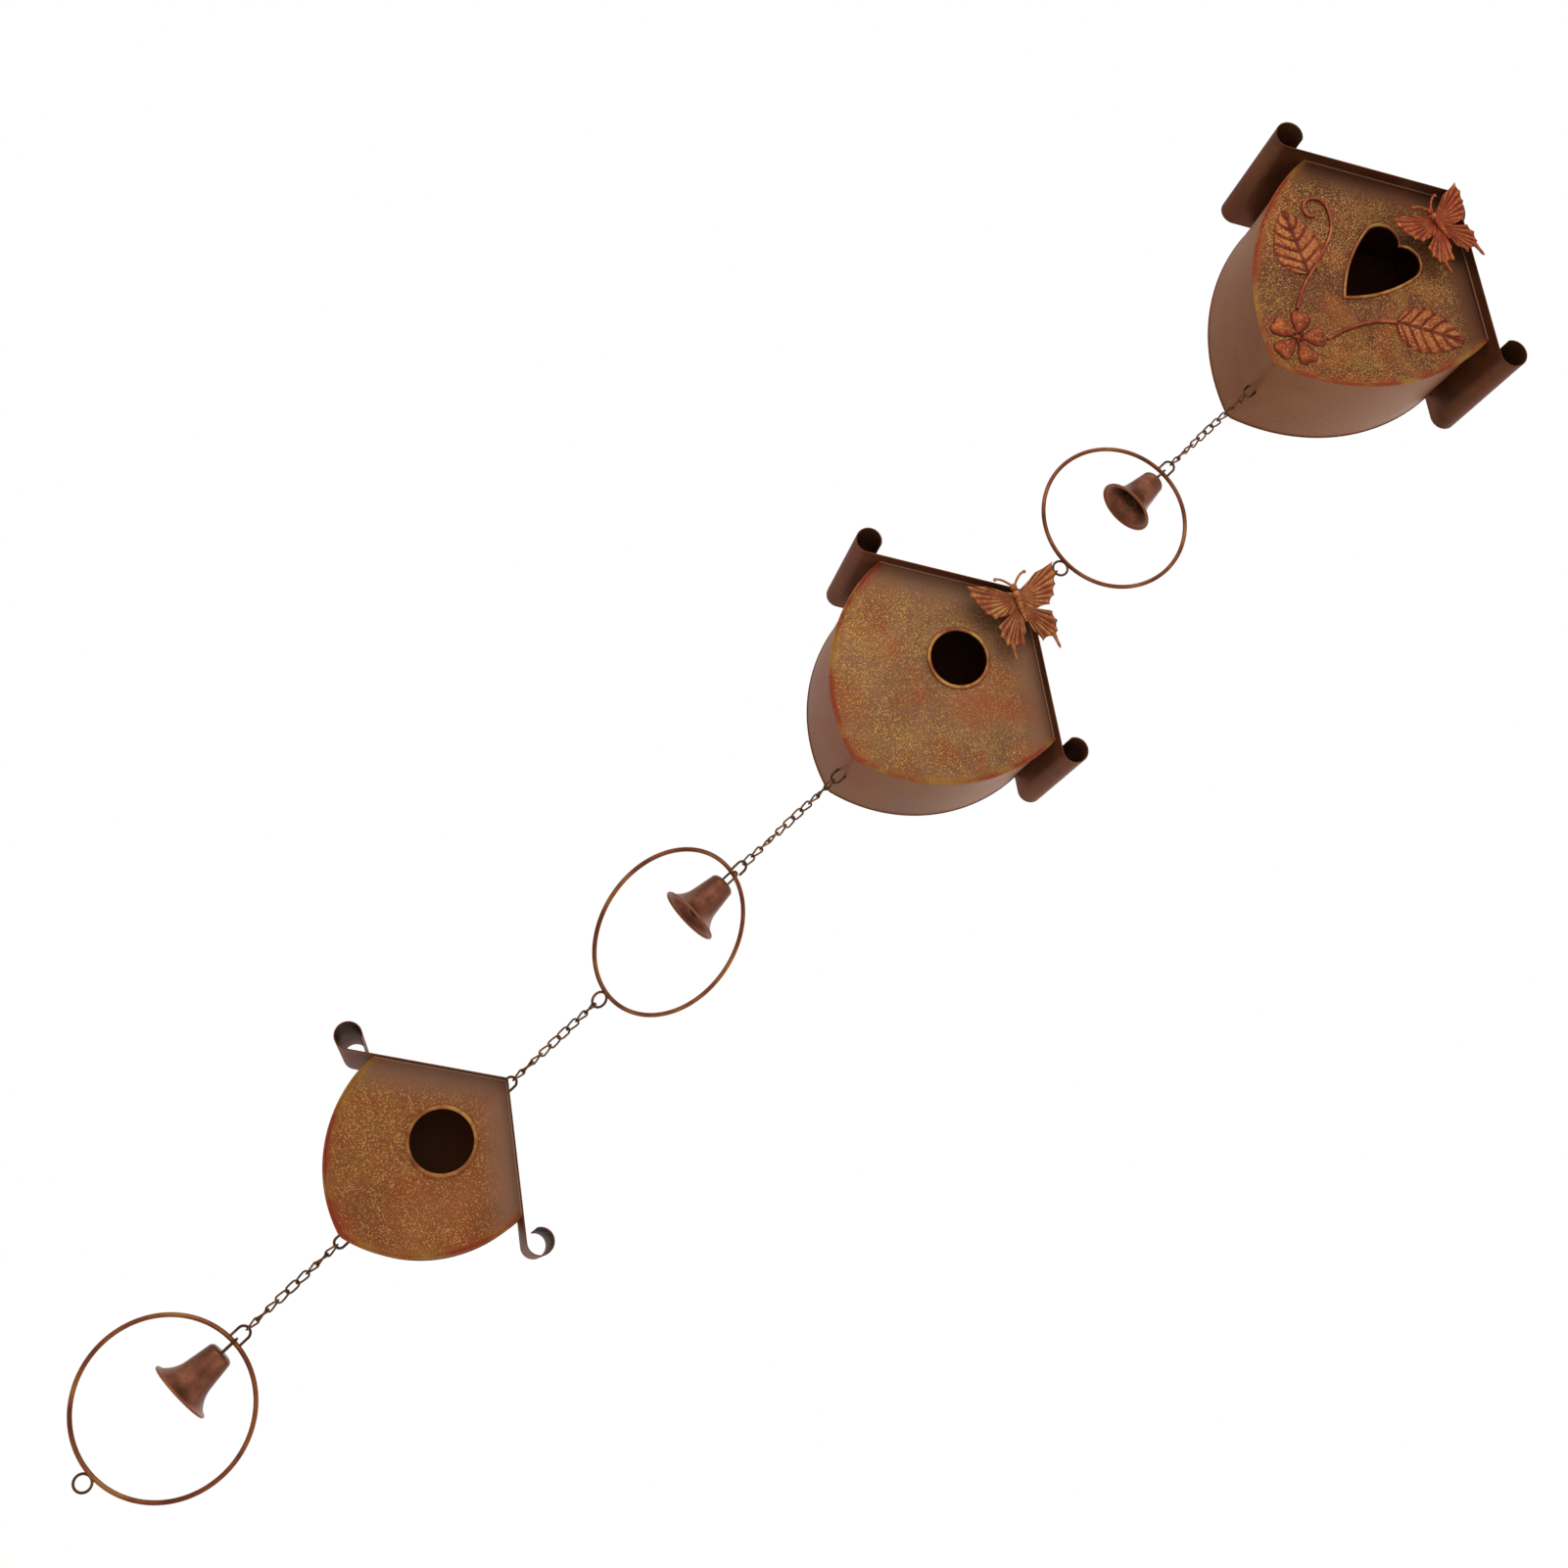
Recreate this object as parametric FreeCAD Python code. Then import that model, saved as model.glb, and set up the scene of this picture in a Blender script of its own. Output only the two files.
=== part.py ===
import FreeCAD
import Part
import math
import os

# Rain chain: three sheet-metal houses and three wire hoops with bells, hung on runs of curb chain.
# Millimetres, +Z up, front towards -Y. The origin is the point of the hanging loop that a hook bears on.

# Sheet, wire and fits
SHEET = 0.6
CLEARANCE = 0.12
SOLDER_GAP = 0.1

# House bodies: half width at the eave, gable height above it, drop below it
HOUSE_1_HALF_WIDTH = 83.0
HOUSE_1_GABLE = 57.0
HOUSE_1_DROP = 122.0
HOUSE_2_HALF_WIDTH = 73.0
HOUSE_2_GABLE = 50.0
HOUSE_2_DROP = 95.0
HOUSE_3_HALF_WIDTH = 57.0
HOUSE_3_GABLE = 41.5
HOUSE_3_DROP = 72.5
HOUSE_DEPTH = 78.0
TIP_RADIUS = 8.0
PLATE_LIP = 0.5
PLATE_FLANGE = 2.5

# Roofs: overhang at front and back, straight run past the eave, rolled scrolls
ROOF_FRONT_OVERHANG = 10.5
ROOF_BACK_OVERHANG = 4.5
ROOF_RUN_1 = 14.5
ROOF_RUN_2 = 9.5
ROOF_RUN_3 = 14.5
SCROLL_RADIUS_1 = 9.2
SCROLL_RADIUS_2 = 7.8
SCROLL_RADIUS_3 = 7.4
SCROLL_TURN = 275.0

# Round openings and their rims
OPENING_RADIUS = 16.6
OPENING_DROP_2 = 6.5
OPENING_DROP_3 = 4.0
RIM_WIDTH = 2.2
RIM_HEIGHT = 1.5
RIM_COVER = 0.5

# Heart opening: lobe circles, the angle where the sides leave them, and the point
HEART_LOBE_RADIUS = 11.2
HEART_LOBE_OFFSET = 9.6
HEART_LOBE_DROP = 2.0
HEART_LEAVE_ANGLE = 7.0
HEART_POINT_DROP = 50.0

# Vines, leaves and flower on the front of house 1. The leaf profile is (share of length, share of half width)
VINE_RADIUS = 1.0
LEAF_LENGTH = 46.5
LEAF_HALF_WIDTH = 16.6
LEAF_PROFILE = ((0.08, 0.6), (0.38, 1.0), (0.72, 0.7))
LEAF_THICKNESS = 1.2
MIDRIB_HEIGHT = 0.9
MIDRIB_WIDTH = 2.4
FLOWER_RADIUS = 19.0
PETAL_COUNT = 5
PETAL_TURN = 52.0
PETAL_LOBE = 3.7
PETAL_LOBE_SPREAD = 11.5
FLOWER_THICKNESS = 1.4
FLOWER_EYE_RADIUS = 2.4
FLOWER_EYE_HEIGHT = 2.0

# Their places on that front, as shares of the half width and of the drop; headings in degrees from +X
FLOWER_PLACE = (-0.0193, -0.7992)
LEAF_LEFT_PLACE = (-0.3193, -0.4795)
LEAF_LEFT_HEADING = 153.3
LEAF_RIGHT_PLACE = (0.4169, -0.3082)
LEAF_RIGHT_HEADING = 33.0
VINE_LEFT_PLACES = (
    (-0.1816, -0.6808), (-0.306, -0.4811), (-0.412, -0.2418), (-0.6145, -0.1025), (-0.7542, -0.1656),
    (-0.6819, -0.223), (-0.6217, -0.1951),
)
VINE_LEFT_HEADING = 123.0
VINE_RIGHT_PLACES = ((0.1458, -0.6828), (0.2337, -0.4795), (0.4108, -0.3139))
VINE_RIGHT_HEADING = 80.8

# Butterflies: wings in one plane, a turned body and two antennae, drawn with the head along +X. Each wing is a
# ring of corners, with the height of the scallop from each corner to the next as a share of the full height
WING_THICKNESS = 1.1
SCALLOP_HEIGHT = 1.0
FOREWING = (
    (-3.0, 0.0), (6.0, 1.0), (14.5, 16.0), (17.5, 28.0), (10.5, 27.5), (4.0, 25.0), (-2.0, 22.0), (-6.5, 17.5),
    (-6.5, 10.0),
)
FOREWING_SCALLOPS = (0, 0.4, 0.3, 1, 1, 1, 1, 0.6, 0)
HINDWING = (
    (-1.0, 0.0), (-6.0, 8.0), (-11.0, 17.5), (-17.0, 18.5), (-23.0, 16.5), (-33.0, 15.0), (-33.5, 12.8),
    (-25.0, 11.5), (-26.5, 6.0), (-19.0, 2.5),
)
HINDWING_SCALLOPS = (0, 0.5, 1, 1, 0, 0.5, 0, 1, 0.6, 0)
BUTTERFLY_BODY_RADIUS = 2.9
BUTTERFLY_HEAD_RADIUS = 2.26
BUTTERFLY_TAIL_RADIUS = 1.16
BUTTERFLY_NOSE = 11.4
BUTTERFLY_TAIL = -13.0
ANTENNA_RADIUS = 0.75
ANTENNA_KNOB_RADIUS = 1.125
ANTENNA_PLACES = ((9.9, 0.6), (15.5, 5.0), (16.0, 9.5))
ANTENNA_HEADING = 24.0
BUTTERFLY_1_SIDE = 6.6
BUTTERFLY_1_BELOW_APEX = 27.6
BUTTERFLY_1_TURN = 168.7
BUTTERFLY_2_SIDE = 0.6
BUTTERFLY_2_BELOW_APEX = 9.3
BUTTERFLY_2_TURN = 154.6

# Hanging loop and the wire eyes of the houses
LOOP_WIRE_RADIUS = 1.1
LOOP_RADIUS = 15.0
LOOP_RISE = 40.0
EYE_WIRE_RADIUS = 0.75
HOUSE_EYE_RADIUS = 3.0
TOP_EYE_LEG = 4.0
BOTTOM_EYE_LEG = 3.5

# Hoops and their eyes
HOOP_RADIUS = 46.0
HOOP_2_RADIUS = 50.0
HOOP_WIRE_RADIUS = 1.3
HOOP_EYE_RADIUS = 3.6
HOOP_EYE_LEG = 5.0
HOOP_EYE_OPEN_END = 1.6
HOOP_RING_RADIUS = 4.6
HOOP_RING_SINK = 0.5
HOOP_2_YAW = 42.0

# Bells, bails and clappers
BELL_MOUTH_RADIUS = 17.6
BELL_HEIGHT = 28.0
BELL_CROWN_RADIUS = 7.6
BELL_SHOULDER = 3.0
BELL_WAIST_RADIUS = 9.6
BELL_WAIST_DROP = 16.0
BELL_WALL = 0.8
BELL_BEAD_RADIUS = 0.8
BELL_BELOW_HOOP = 6.0
BAIL_WIRE_RADIUS = 0.7
BAIL_RADIUS = 3.2
BAIL_CORNER = 1.2
CLAPPER_BAR_DROP = 3.6
CLAPPER_LENGTH = 18.0
CLAPPER_THICKNESS = 0.9
CLAPPER_HOLE_RADIUS = 1.1
CLAPPER_EYE_RADIUS = 2.3
CLAPPER_STEM = 4.2
CLAPPER_DISC_RADIUS = 5.0

# Curb chain: twisted links
LINK_WIRE_RADIUS = 0.58
LINK_HALF_LENGTH = 4.0
LINK_HALF_WIDTH = 1.95
LINK_TWIST = 30.0
LINK_SIDES = 6
LINK_END_STEPS = 6
CHAIN_1_LINKS = 11
CHAIN_2_LINKS = 6
CHAIN_3_LINKS = 11
CHAIN_4_LINKS = 9
CHAIN_5_LINKS = 9
UPPER_LINKS = 4
HALF_TURNS = (1, 0, 1, 1, 1)

FRONT = -HOUSE_DEPTH / 2
ROOF_FRONT = FRONT - ROOF_FRONT_OVERHANG
ROOF_BACK = ROOF_BACK_OVERHANG - FRONT
LINK_STEP = 2 * LINK_WIRE_RADIUS + CLEARANCE
LINK_PITCH = 2 * LINK_HALF_LENGTH - LINK_STEP
EYE_TO_LINK = EYE_WIRE_RADIUS + LINK_WIRE_RADIUS + CLEARANCE

parts = {}


def at(x, z, y=0.0):
    return FreeCAD.Vector(x, y, z)


def line(start, end):
    return Part.LineSegment(start, end).toShape()


def arc(start, middle, end):
    return Part.Arc(start, middle, end).toShape()


def on_circle(centre, radius, degrees):
    """A point on a circle in the XZ plane, with the angle counted from +X towards +Z."""
    turn = math.radians(degrees)
    return at(centre.x + radius * math.cos(turn), centre.z + radius * math.sin(turn), centre.y)


def prism(edges, near, far):
    """A closed outline in the XZ plane, made solid between two depths."""
    face = Part.Face(Part.Wire(edges))
    face.translate(FreeCAD.Vector(0, near, 0))
    return face.extrude(FreeCAD.Vector(0, far - near, 0))


def in_order(edges):
    return Part.sortEdges(edges)[0]


def polygon(points):
    return Part.makePolygon(points + points[:1]).Edges


def disc(centre, radius, near, far):
    return Part.makeCylinder(radius, far - near, at(centre.x, centre.z, near), FreeCAD.Vector(0, 1, 0))


def straight_wire(start, end, radius):
    return Part.makeCylinder(radius, start.distanceToPoint(end), start, end - start)


def bent_wire(start, centre, axis, degrees, radius):
    """Round wire bent about an axis through centre, from start."""
    tangent = axis.cross(start - centre)
    section = Part.Face(Part.Wire(Part.Circle(start, tangent, radius).toShape()))
    return section.revolve(centre, axis, degrees)


def joined(solids):
    """Solids that meet, as one."""
    if len(solids) == 1:
        return solids[0]
    return solids[0].multiFuse(solids[1:]).removeSplitter()


def tangent_wire(start, degrees, points, radius):
    """Wire of tangent arcs in one XZ plane, through the points in turn; degrees is its first heading."""
    pieces = []
    heading = on_circle(at(0, 0), 1, degrees)
    for point in points:
        chord = point - start
        side = heading.cross(chord)
        half_turn = heading.getAngle(chord)
        bend = chord.Length / (2 * math.sin(half_turn))
        axis = side.normalize()
        centre = start + axis.cross(heading) * bend
        pieces.append(bent_wire(start, centre, axis, math.degrees(2 * half_turn), radius))
        heading = FreeCAD.Rotation(axis, math.degrees(2 * half_turn)).multVec(heading)
        start = point
    return joined(pieces), start


class House:
    """The measures that one house's pieces share, with heights counted from its eave."""

    def __init__(self, half_width, gable, drop, run, scroll):
        self.half_width = half_width
        self.gable = gable
        self.drop = drop
        self.run = run
        self.scroll = scroll
        self.slope = math.atan2(gable, half_width)
        rest = drop - TIP_RADIUS
        self.side = (half_width**2 + rest**2 - TIP_RADIUS**2) / (2 * (half_width - TIP_RADIUS))
        self.ridge = gable + SHEET / math.cos(self.slope)

    def side_edges(self, inset):
        """The rounded lower outline, from the right eave round the tip to the left eave."""
        centre = at(self.half_width - self.side, 0)
        tip = at(0, TIP_RADIUS - self.drop)
        meet = math.degrees(math.atan2(tip.z, -centre.x))
        right_eave = on_circle(centre, self.side - inset, 0)
        right_middle = on_circle(centre, self.side - inset, meet / 2)
        right_meet = on_circle(centre, self.side - inset, meet)
        bottom = on_circle(tip, TIP_RADIUS - inset, -90)
        left_eave, left_middle, left_meet = (
            at(-point.x, point.z) for point in (right_eave, right_middle, right_meet)
        )
        return [
            arc(right_eave, right_middle, right_meet),
            arc(right_meet, bottom, left_meet),
            arc(left_meet, left_middle, left_eave),
        ]

    def plate_edges(self):
        apex = at(0, self.gable)
        left = at(-self.half_width, 0)
        right = at(self.half_width, 0)
        return self.side_edges(0) + [line(left, apex), line(apex, right)]

    def back_plate(self):
        return prism(self.plate_edges(), -FRONT - SHEET, -FRONT)

    def front_plate(self):
        """The front sheet, with its slopes folded forwards into a narrow flange under the roof."""
        rise = SHEET / math.cos(self.slope)
        inset = SHEET / math.sin(self.slope)
        flange = polygon([
            at(-self.half_width, 0), at(0, self.gable), at(self.half_width, 0),
            at(self.half_width - inset, 0), at(0, self.gable - rise), at(inset - self.half_width, 0),
        ])
        sheet = prism(self.plate_edges(), FRONT, FRONT + SHEET)
        return joined([sheet, prism(flange, FRONT - PLATE_FLANGE, FRONT)])

    def side_wrap(self):
        outer = self.side_edges(PLATE_LIP)
        inner = self.side_edges(PLATE_LIP + SHEET)
        right = line(inner[0].Vertexes[0].Point, outer[0].Vertexes[0].Point)
        left = line(outer[-1].Vertexes[-1].Point, inner[-1].Vertexes[-1].Point)
        return prism(in_order(outer + [left] + inner + [right]), FRONT + SHEET, -FRONT - SHEET)

    def roof(self):
        """One folded sheet: straight slopes over the gable, each rolled outwards past the eave."""
        along = at(math.cos(self.slope), -math.sin(self.slope))
        across = at(math.sin(self.slope), math.cos(self.slope))
        under = at(self.half_width, 0) + along * self.run
        over = under + across * SHEET
        centre = under + across * self.scroll
        start = -90.0 - math.degrees(self.slope)
        middle = start + SCROLL_TURN / 2
        end = start + SCROLL_TURN
        inside = self.scroll - SHEET
        ridge = at(0, self.ridge)
        apex = at(0, self.gable)

        def half(mirror):
            def place(point):
                return at(mirror * point.x, point.z)

            lip_in = on_circle(centre, inside, end)
            lip_out = on_circle(centre, self.scroll, end)
            return [
                line(place(ridge), place(over)),
                arc(place(over), place(on_circle(centre, inside, middle)), place(lip_in)),
                line(place(lip_in), place(lip_out)),
                arc(place(lip_out), place(on_circle(centre, self.scroll, middle)), place(under)),
                line(place(under), place(apex)),
            ]

        return prism(in_order(half(1) + half(-1)), ROOF_FRONT, ROOF_BACK)

    def under_roof(self):
        """Everything below the outer face of the slopes, to trim what stands on them."""
        reach = self.half_width
        foot = self.ridge - reach * math.tan(self.slope)
        base = foot - self.drop
        corners = [at(0, self.ridge), at(reach, foot), at(reach, base), at(-reach, base), at(-reach, foot)]
        return prism(polygon(corners), ROOF_FRONT, ROOF_BACK)

    def filled_body(self):
        """The body inside the outer face of the side wrap, to trim what is soldered under it."""
        right = at(self.half_width - PLATE_LIP, 0)
        left = at(-right.x, 0)
        return prism(self.side_edges(PLATE_LIP) + [line(left, right)], FRONT, -FRONT)


def arch(top, radius, leg, wire_radius):
    """A wire arch in the XZ plane: a half ring whose centreline tops out at top, on two straight legs."""
    centre = at(top.x, top.z - radius, top.y)
    right = at(centre.x + radius, centre.z, centre.y)
    left = at(centre.x - radius, centre.z, centre.y)
    down = at(0, -leg)
    return joined([
        bent_wire(right, centre, FreeCAD.Vector(0, -1, 0), 180, wire_radius),
        straight_wire(right, right + down, wire_radius),
        straight_wire(left, left + down, wire_radius),
    ])


def round_rim(centre):
    inner = disc(centre, OPENING_RADIUS, FRONT - RIM_HEIGHT, FRONT)
    outer = disc(centre, OPENING_RADIUS + RIM_WIDTH, FRONT - RIM_HEIGHT, FRONT)
    return softened(outer.cut(inner), RIM_HEIGHT)


def softened(rim, height):
    """A rim whose front edges are rounded off, as a half-round wire is."""
    front = [edge for edge in rim.Edges if edge.BoundBox.YMax < FRONT - height / 2]
    return rim.makeFillet(min(RIM_WIDTH, height) * 0.4, front)


def heart_edges(grow):
    """The heart outline, moved outwards by grow: two lobe arcs and two long sides that meet in a point."""
    lobe = at(HEART_LOBE_OFFSET, -HEART_LOBE_DROP)
    leave = math.radians(HEART_LEAVE_ANGLE)
    outward = at(math.cos(leave), -math.sin(leave))
    heading = at(-math.sin(leave), -math.cos(leave))
    shoulder = lobe + outward * HEART_LOBE_RADIUS
    chord = at(0, -HEART_POINT_DROP) - shoulder
    bend = chord.Length / (2 * math.sin(heading.getAngle(chord)))
    side = shoulder - outward * bend

    dip = at(0, lobe.z + math.sqrt((HEART_LOBE_RADIUS + grow) ** 2 - lobe.x**2))
    meet = lobe + outward * (HEART_LOBE_RADIUS + grow)
    point = at(0, side.z - math.sqrt((bend + grow) ** 2 - side.x**2))
    lobe_top = on_circle(lobe, HEART_LOBE_RADIUS + grow, 45)
    point_angle = math.degrees(math.atan2(point.z - side.z, point.x - side.x))
    side_middle = on_circle(side, bend + grow, (point_angle - HEART_LEAVE_ANGLE) / 2)

    def mirrored(vector):
        return at(-vector.x, vector.z)

    return [
        arc(dip, lobe_top, meet),
        arc(meet, side_middle, point),
        arc(point, mirrored(side_middle), mirrored(meet)),
        arc(mirrored(meet), mirrored(lobe_top), dip),
    ]


def heart_rim():
    inner = prism(heart_edges(0), FRONT - RIM_HEIGHT, FRONT)
    outer = prism(heart_edges(RIM_WIDTH), FRONT - RIM_HEIGHT, FRONT)
    return outer.cut(inner)


def leaf(base, degrees):
    """A pointed leaf blade with a raised midrib, flat on the front plate."""

    def side(sign):
        margin = [at(along * LEAF_LENGTH, sign * wide * LEAF_HALF_WIDTH) for along, wide in LEAF_PROFILE]
        curve = Part.BSplineCurve()
        curve.interpolate([at(0, 0)] + margin + [at(LEAF_LENGTH, 0)])
        return curve.toShape()

    blade = prism([side(1), side(-1)], FRONT - LEAF_THICKNESS, FRONT)
    rib_face = FRONT - LEAF_THICKNESS
    half = MIDRIB_WIDTH / 2
    section = Part.Face(Part.Wire(Part.makePolygon([
        FreeCAD.Vector(half, rib_face, -half),
        FreeCAD.Vector(half, rib_face, half),
        FreeCAD.Vector(half, rib_face - MIDRIB_HEIGHT, 0),
        FreeCAD.Vector(half, rib_face, -half),
    ])))
    tip = FreeCAD.Vector(LEAF_LENGTH - MIDRIB_WIDTH, rib_face, 0)
    faces = [section]
    corners = [vertex.Point for vertex in section.OuterWire.OrderedVertexes]
    for first, second in zip(corners, corners[1:] + corners[:1]):
        faces.append(Part.Face(Part.makePolygon([first, second, tip, first])))
    rib = Part.Solid(Part.Shell(faces))
    shape = joined([blade, rib])
    shape.rotate(FreeCAD.Vector(0, 0, 0), FreeCAD.Vector(0, -1, 0), degrees)
    shape.translate(base)
    return shape


def flower(centre):
    """Five heart-shaped petals and a domed eye, stamped as one piece."""
    near = FRONT - FLOWER_THICKNESS
    reach = FLOWER_RADIUS - PETAL_LOBE
    solids = [disc(centre, FLOWER_EYE_RADIUS, FRONT - FLOWER_EYE_HEIGHT, FRONT)]
    for count in range(PETAL_COUNT):
        turn = PETAL_TURN + count * 360.0 / PETAL_COUNT
        lobes = [on_circle(centre, reach, turn + side * PETAL_LOBE_SPREAD) for side in (-1, 1)]
        solids += [disc(lobe, PETAL_LOBE, near, FRONT) for lobe in lobes]
        flank = math.degrees(math.acos(PETAL_LOBE / reach))
        sides = [
            on_circle(lobe, PETAL_LOBE, turn + hand * (PETAL_LOBE_SPREAD + 180.0 - flank))
            for hand, lobe in zip((-1, 1), lobes)
        ]
        solids.append(prism(polygon([centre, sides[0], lobes[0], lobes[1], sides[1]]), near, FRONT))
    return joined(solids)


def wing_outline(corners, bulge):
    """A wing from its corners: straight to the first margin corner, then one scallop between each pair."""
    edges = []
    for first, second, scallop in corners:
        if scallop:
            middle = (first + second) * 0.5
            outward = at(second.z - first.z, first.x - second.x).normalize()
            edges.append(arc(first, middle + outward * (scallop * bulge), second))
        else:
            edges.append(line(first, second))
    return edges


def butterfly(apex, side, below, degrees):
    """One casting: scalloped forewings, tailed hindwings, a turned body and two antennae."""
    solids = []
    for outline, scallops in ((FOREWING, FOREWING_SCALLOPS), (HINDWING, HINDWING_SCALLOPS)):
        for hand in (1, -1):
            points = [at(u, hand * v) for u, v in outline]
            ends = points[1:] + points[:1]
            bulges = [hand * amount for amount in scallops]
            edges = wing_outline(zip(points, ends, bulges), SCALLOP_HEIGHT)
            solids.append(prism(edges, -WING_THICKNESS, 0))

    girth = BUTTERFLY_BODY_RADIUS
    middle = -girth / 2
    head = at(BUTTERFLY_NOSE - BUTTERFLY_HEAD_RADIUS, 0, middle)
    chest = at(head.x - BUTTERFLY_HEAD_RADIUS - girth * 0.7, 0, middle)
    end = at(BUTTERFLY_TAIL + BUTTERFLY_TAIL_RADIUS, 0, middle)
    solids += [
        Part.makeSphere(BUTTERFLY_HEAD_RADIUS, head),
        Part.makeSphere(girth, chest),
        Part.makeCone(girth * 0.85, BUTTERFLY_TAIL_RADIUS, chest.x - end.x, chest, end - chest),
        Part.makeSphere(BUTTERFLY_TAIL_RADIUS, end),
    ]
    for hand in (1, -1):
        root, *bends = [at(u, hand * v, middle - ANTENNA_RADIUS) for u, v in ANTENNA_PLACES]
        feeler, end = tangent_wire(root, hand * ANTENNA_HEADING, bends, ANTENNA_RADIUS)
        solids += [feeler, Part.makeSphere(ANTENNA_KNOB_RADIUS, end)]
    shape = joined(solids)
    reach = 2 * max(abs(value) for corner in FOREWING + HINDWING for value in corner)
    behind = Part.makeBox(2 * reach, girth, 2 * reach, FreeCAD.Vector(-reach, 0, -reach))
    shape = shape.cut(behind)
    shape.rotate(FreeCAD.Vector(0, 0, 0), FreeCAD.Vector(0, -1, 0), degrees)
    shape.translate(FreeCAD.Vector(side, ROOF_FRONT - SOLDER_GAP, apex - below))
    return shape


def bell_shell(crown):
    """A spun bell: rounded crown, tapered waist, flared mouth with a rolled bead."""

    def profile(wall):
        top = crown.z - wall
        crown_radius = BELL_CROWN_RADIUS - wall
        shoulder = BELL_SHOULDER - wall
        foot = crown.z - BELL_HEIGHT
        shoulder_centre = at(BELL_CROWN_RADIUS - BELL_SHOULDER, crown.z - BELL_SHOULDER)
        neck = at(BELL_CROWN_RADIUS, crown.z - BELL_SHOULDER)
        waist = at(BELL_WAIST_RADIUS, crown.z - BELL_WAIST_DROP)
        mouth = at(BELL_MOUTH_RADIUS, foot)
        down = (waist - neck).normalize()
        outward = at(-down.z, down.x)
        span = mouth - waist
        flare = span.Length**2 / (2 * span.dot(outward))
        centre = waist + outward * flare
        waist_in = waist - outward * wall
        grown = flare + wall
        mouth_in = at(centre.x - math.sqrt(grown**2 - (foot - centre.z) ** 2), foot)
        spread = [math.atan2(point.z - centre.z, point.x - centre.x) for point in (waist_in, mouth_in)]
        spread = [angle % (2 * math.pi) for angle in spread]
        middle = on_circle(centre, grown, math.degrees(sum(spread) / 2))
        shoulder_top = at(shoulder_centre.x, top)
        shoulder_middle = on_circle(shoulder_centre, shoulder, 45)
        return [
            line(at(0, top), shoulder_top),
            arc(shoulder_top, shoulder_middle, at(crown_radius, shoulder_centre.z)),
            line(at(crown_radius, shoulder_centre.z), waist_in),
            arc(waist_in, middle, mouth_in),
            line(mouth_in, at(0, foot)),
            line(at(0, foot), at(0, top)),
        ]

    outer = Part.Face(Part.Wire(profile(0))).revolve(at(0, 0), FreeCAD.Vector(0, 0, 1), 360)
    inner = Part.Face(Part.Wire(profile(BELL_WALL))).revolve(at(0, 0), FreeCAD.Vector(0, 0, 1), 360)
    bead_centre = at(0, crown.z - BELL_HEIGHT)
    bead = Part.makeTorus(BELL_MOUTH_RADIUS - BELL_WALL / 2, BELL_BEAD_RADIUS, bead_centre)
    shell = outer.cut(inner).fuse(bead).removeSplitter()
    hole = BAIL_WIRE_RADIUS + CLEARANCE / 2
    for side in (-1, 1):
        foot = FreeCAD.Vector(0, side * BAIL_RADIUS, crown.z - 2 * BELL_WALL)
        shell = shell.cut(Part.makeCylinder(hole, 3 * BELL_WALL, foot))
    return shell


def bail(top, bar):
    """A closed wire loop in the YZ plane: over the hoop, through the crown, with a straight bar below."""
    bend = FreeCAD.Vector(0, 0, top - BAIL_RADIUS)
    lean = FreeCAD.Vector(-1, 0, 0)
    side = FreeCAD.Vector(0, BAIL_RADIUS, 0)
    knee = FreeCAD.Vector(0, 0, bar + BAIL_CORNER)
    solids = [bent_wire(bend - side, bend, lean, 180, BAIL_WIRE_RADIUS)]
    for hand in (-1, 1):
        solids.append(straight_wire(knee + side * hand, bend + side * hand, BAIL_WIRE_RADIUS))
        corner = knee + FreeCAD.Vector(0, hand * (BAIL_RADIUS - BAIL_CORNER), 0)
        turn = FreeCAD.Vector(-hand, 0, 0)
        solids.append(bent_wire(knee + side * hand, corner, turn, 90, BAIL_WIRE_RADIUS))
    reach = BAIL_RADIUS - BAIL_CORNER
    floor = FreeCAD.Vector(0, -reach, bar)
    solids.append(straight_wire(floor, FreeCAD.Vector(0, reach, bar), BAIL_WIRE_RADIUS))
    return joined(solids)


def clapper(bar):
    """A flat keyhole tag that hangs on the bar by the hole at its top."""
    eye = at(0, bar - (CLAPPER_HOLE_RADIUS - BAIL_WIRE_RADIUS - CLEARANCE))
    weight = at(0, eye.z - CLAPPER_LENGTH)
    near = -CLAPPER_THICKNESS / 2
    far = CLAPPER_THICKNESS / 2
    half = CLAPPER_STEM / 2
    stem = polygon([at(-half, eye.z), at(half, eye.z), at(half, weight.z), at(-half, weight.z)])
    tag = joined([
        disc(eye, CLAPPER_EYE_RADIUS, near, far),
        prism(stem, near, far),
        disc(weight, CLAPPER_DISC_RADIUS, near, far),
    ])
    return tag.cut(disc(eye, CLAPPER_HOLE_RADIUS, near, far))


def link_stations():
    """Points round one link's centreline: a stadium, twisted about its long axis."""
    straight = LINK_HALF_LENGTH - LINK_HALF_WIDTH
    flat = []
    for end, first in ((1, 90.0), (-1, -90.0)):
        for step in range(LINK_END_STEPS + 1):
            turn = first - 90.0 + step * 180.0 / LINK_END_STEPS
            flat.append(on_circle(at(0, end * straight), LINK_HALF_WIDTH, turn))
        flat.append(at(-end * LINK_HALF_WIDTH, 0))
    stations = []
    for point in flat:
        turn = FreeCAD.Rotation(FreeCAD.Vector(0, 0, 1), LINK_TWIST * point.z / LINK_HALF_LENGTH)
        stations.append(turn.multVec(point))
    return stations


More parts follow.
